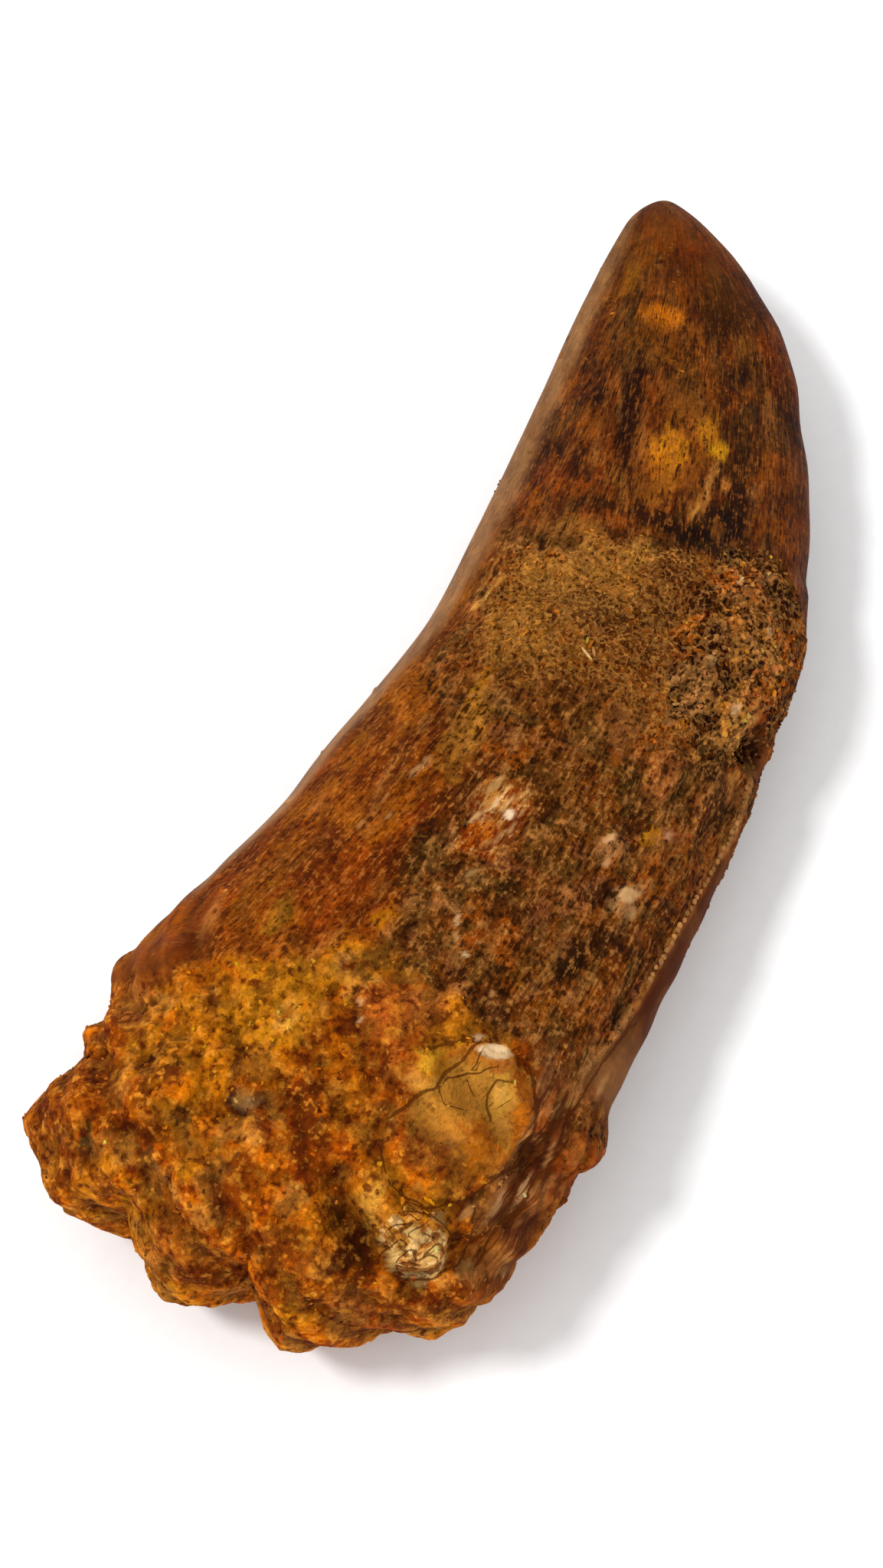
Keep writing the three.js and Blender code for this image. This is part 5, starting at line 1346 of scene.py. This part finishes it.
def fossil_material():
    """Mineralised tooth: the painted stains, and over them patches and lumps with pale tops and dark
    gaps, round on the crusts and drawn out along the fibres of the crown, with grains of their own
    hue, pores and cracks."""
    material = new_material("fossil_tooth")
    n = Nodes(material)
    colour, tops, gaps = [n.attribute(name, "Color") for name in ("paint", "tops", "gaps")]
    share = {name: n.attribute(name) for name in (
        "crust", "rough", "sand", "coarse", "fibrous", "crown", "chip", "plate", "cream", "strata",
        "bevel")}
    even, gloss, cavity_shade, crack_aside, crack_near = [
        n.attribute(name) for name in ("even", "gloss", "cavity_shade", "crack_aside", "crack_near")]
    fibre_at = n.wobbled(n.attribute("fibre", "Vector"), 3.4, 0.2)
    at = n.wobbled(n.coordinates, 0.6, 0.2)

    def weighed(shares):
        """The shares of the kinds of surface, each times its part, added up."""
        return n.plus(*[n.times(share[kind], part) for kind, part in shares.items()])

    def signal(reach, *noise_inputs):
        """Noise taken to -1..1 where it is within reach of its middle value."""
        return n.between(n.noise(*noise_inputs), 0.5 - reach, 0.5 + reach, -1.0, 1.0)

    def varied(part, noise, change):
        """1 made more or less by up to that change, with the noise, on that part of the surface."""
        return n.plus(1.0, n.times(part, n.between(noise, 0.3, 0.7, -change, change)))

    grit = weighed({"crust": 0.5, "rough": 0.7, "sand": 1.0, "coarse": 1.0})
    fibred = weighed({"fibrous": 1.0, "crown": 0.8})

    # crisp patches, paler or darker than the paint
    for noise, shares in ((n.noise(1.9, 7, 0.62), BLOT_SHARES),
                          (n.noise(1.5, 7, 0.62, 2.2, fibre_at), SMEAR_SHARES)):
        amount = weighed(shares)
        colour = n.mix(n.times(amount, n.between(noise, 0.570, 0.595, 0.0, 0.55)), colour, tops)
        colour = n.mix(n.times(amount, n.between(noise, 0.435, 0.410, 0.0, 0.75)), colour, gaps)

    # lumps
    grain_far, grain_tone, grain_hue = n.cells(at, 0.5)
    curd_far, curd_tone, _ = n.cells(at, 1.1)
    patterns = {name: signal(*numbers) for name, numbers in ROUND_LUMPS.items()}
    patterns.update({name: signal(*numbers, fibre_at) for name, numbers in LONG_LUMPS.items()})
    patterns.update({name: n.math("POWER", patterns[name], 3.0) for name in SPARSE_LUMPS})
    patterns["granule"] = n.between(grain_far, 0.25, 0.75, 1.0, -1.0)
    patterns["curd"] = n.between(curd_far, 0.25, 0.75, 1.0, -1.0)
    lumps = n.plus(weighed(LEANING), *[
        n.times(patterns[name], weighed(shares)) for name, shares in LUMP_SHARES.items()])

    # grains, flakes and sheets with a tone and a hue of their own
    flake_far, flake_tone, flake_hue = n.cells(fibre_at, 0.5, 2.0)
    _, sheet_tone, sheet_hue = n.cells(fibre_at, 0.8, 5.0)
    for amount, random, stops in (
            (n.times(grit, 0.4), grain_tone, GRAIN_TONES),
            (n.times(grit, 0.6), grain_hue, GRAIN_HUES),
            (weighed({"crust": 0.315, "coarse": 0.28}), curd_tone, GRAIN_TONES),
            (n.times(share["chip"], 0.35), flake_tone, FLAKE_TONES),
            (n.times(fibred, 0.35), flake_tone, GRAIN_TONES),
            (n.times(fibred, 0.4), flake_hue, GRAIN_HUES),
            (n.times(share["strata"], 0.7), sheet_tone, GRAIN_TONES),
            (n.times(share["strata"], 0.25), sheet_hue, GRAIN_HUES)):
        colour = n.mix(amount, colour, n.pick(random, stops), "MULTIPLY")

    # pale tops and dark gaps: painted light on the raised lumps and painted shade in their low parts
    colour = n.mix(n.between(lumps, 0.10, 1.1, 0.0, 0.75), colour, tops)
    colour = n.mix(n.between(lumps, -0.10, -1.1, 0.0, 0.9), colour, gaps)

    # softer light and dark over everything: random blotches, painted light on the raised crumbs
    # and points, and painted shade in the cavities
    crumb = n.noise(0.5, 4, 0.7)
    dust = n.noise(0.18, 2, 0.6)
    busy = n.between(even, 0.0, 1.0, 1.0, 0.45)
    light = n.times(varied(1.0, n.noise(2.2, 4, 0.6), 0.2), varied(busy, crumb, 0.20))
    light = n.times(light, varied(busy, dust, 0.08))
    colour = n.scaled(colour, n.times(light, n.between(cavity_shade, -0.8, 0.8, 1.2, 0.5)))

    # winding pale threads in the sand, curls in the cream lump, dark pores, rims and cracks
    thread = n.times(n.curls(0.62, 0.10), weighed({"sand": 0.4, "coarse": 0.3}))
    curl = n.times(n.curls(1.6, 0.06), weighed({"cream": 0.5, "plate": 0.1}))
    pore = n.times(n.between(n.noise(0.75, 2, 0.6), 0.36, 0.30),
                   n.plus(n.times(grit, 0.7), n.times(fibred, 0.2)))
    rims = n.plus(n.times(n.rims(fibre_at, 0.8, 5.0), n.times(share["strata"], 0.5)),
                  n.times(n.rims(fibre_at, 0.6, 3.0), n.times(share["chip"], 0.4)))
    crack_width = n.plus(n.math("ABSOLUTE", crack_aside), n.between(crumb, 0.2, 0.8, -0.6, 0.6))
    crack = n.times(n.between(crack_width, 1.7, 0.8), n.between(crack_near, 0.1, 0.6))
    for amount, over in ((thread, tops), (curl, gaps), (n.math("MAXIMUM", pore, rims), gaps),
                         (n.times(crack, 0.8), tuple(stone(CRACK_COLOUR)))):
        colour = n.mix(amount, colour, over)

    roughness = n.between(n.times(gloss, n.between(crumb, 0.2, 0.8, 1.0, 0.7)), 0.0, 1.0, 0.85, 0.45)

    # height in millimetres
    height = n.plus(
        n.times(lumps, 0.10), n.times(n.times(grain_far, grit), -0.10),
        n.times(n.times(flake_far, n.plus(share["chip"], n.times(fibred, 0.2))), -0.14),
        n.times(n.times(crumb, n.plus(grit, 0.15)), 0.20), n.times(dust, 0.02), n.times(thread, 0.06),
        n.times(n.plus(pore, crack, rims, curl), -0.08))
    bump = n.add("ShaderNodeBump", {"Height": height, "Distance": MM, "Strength": 0.9})

    shader = n.add("ShaderNodeBsdfPrincipled", {
        "Base Color": colour, "Roughness": roughness, "Normal": bump.outputs["Normal"],
        "Specular IOR Level": SPECULAR})
    n.add("ShaderNodeOutputMaterial", {"Surface": shader.outputs[0]})
    return material


PAPER = ((0.94, 0.94, 0.94), (0.96, 0.96, 0.96))


def floor_material():
    """Plain matt pale paper."""
    material = new_material("pale_floor")
    n = Nodes(material)
    grain = n.between(n.noise(1.5, 2, 0.5), 0.3, 0.7)
    colour = n.mix(grain, *PAPER)
    shader = n.add("ShaderNodeBsdfPrincipled", {
        "Base Color": colour, "Roughness": 0.9, "Specular IOR Level": 0.0})
    n.add("ShaderNodeOutputMaterial", {"Surface": shader.outputs[0]})
    return material


# ---- floor, light and camera ----------------------------------------------------------------------

# The camera looks at a point a little above the tooth's middle, and the sun stands to its left.
CAMERA_TARGET = Vector((43.4 - FOOTPRINT_CENTRE[0], -FOOTPRINT_CENTRE[1], 9.0)) * MM
CAMERA_AZIMUTH = math.radians(-69.7)
CAMERA_ELEVATION = math.radians(68)
CAMERA_DISTANCE = 271.7 * MM
LENS_MM = 85
NEAREST_SEEN = 0.01
FLOOR_SIDE = 3.0
SUN_AZIMUTH = CAMERA_AZIMUTH - math.radians(91)
SUN_LIFT = math.radians(58)
SUN_SPREAD = math.radians(12)
SUN_STRENGTH = 1.65
SURROUND_STRENGTH = 0.90


def direction(azimuth, elevation):
    """Unit vector towards an azimuth, from straight along -Y, and an elevation above the horizon."""
    flat = math.cos(elevation)
    return Vector((math.sin(azimuth) * flat, -math.cos(azimuth) * flat, math.sin(elevation)))


def add_camera():
    """A camera above the tooth, looking at its middle."""
    data = bpy.data.cameras.new("camera")
    data.lens = LENS_MM
    data.clip_start = NEAREST_SEEN
    camera = bpy.data.objects.new("camera", data)
    back = direction(CAMERA_AZIMUTH, CAMERA_ELEVATION)
    camera.location = CAMERA_TARGET + back * CAMERA_DISTANCE
    camera.rotation_euler = (-back).to_track_quat("-Z", "Y").to_euler()
    bpy.context.scene.collection.objects.link(camera)
    bpy.context.scene.camera = camera


def add_lights():
    """A soft key light from the left of the view, and an even pale surround."""
    data = bpy.data.lights.new("key", "SUN")
    data.energy = SUN_STRENGTH
    data.angle = SUN_SPREAD
    key = bpy.data.objects.new("key", data)
    key.rotation_euler = direction(SUN_AZIMUTH, SUN_LIFT).to_track_quat("Z", "Y").to_euler()
    bpy.context.scene.collection.objects.link(key)
    world = bpy.data.worlds.new("studio")
    bpy.context.scene.world = world
    world.use_nodes = True
    surround = world.node_tree.nodes["Background"]
    surround.inputs["Color"].default_value = (1.0, 1.0, 1.0, 1.0)
    surround.inputs["Strength"].default_value = SURROUND_STRENGTH


def add_floor():
    """A plain square floor under the tooth."""
    half = FLOOR_SIDE / 2
    corners = np.array([(-half, -half, 0), (half, -half, 0), (half, half, 0), (-half, half, 0)])
    floor = make_mesh("floor", corners, np.array([[0, 1, 2, 3]]))
    floor.data.materials.append(floor_material())


def finish_piece(piece, material):
    """Gives a piece its material, hangs it on the body it rides on, and hides the CAD part it replaces."""
    piece.data.materials.append(material)
    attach(piece, BODY)
    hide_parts(NODE)


add_camera()
fossil = fossil_material()
surface, ground = build_skin()
pieces = [surface, cutting_beads(ground), straw_bits(ground)]
pieces += [scatter_grains(ground, *grains) for grains in GRAINS]
for piece in pieces:
    finish_piece(piece, fossil)
add_floor()
add_lights()
bpy.context.scene.view_settings.view_transform = "Standard"
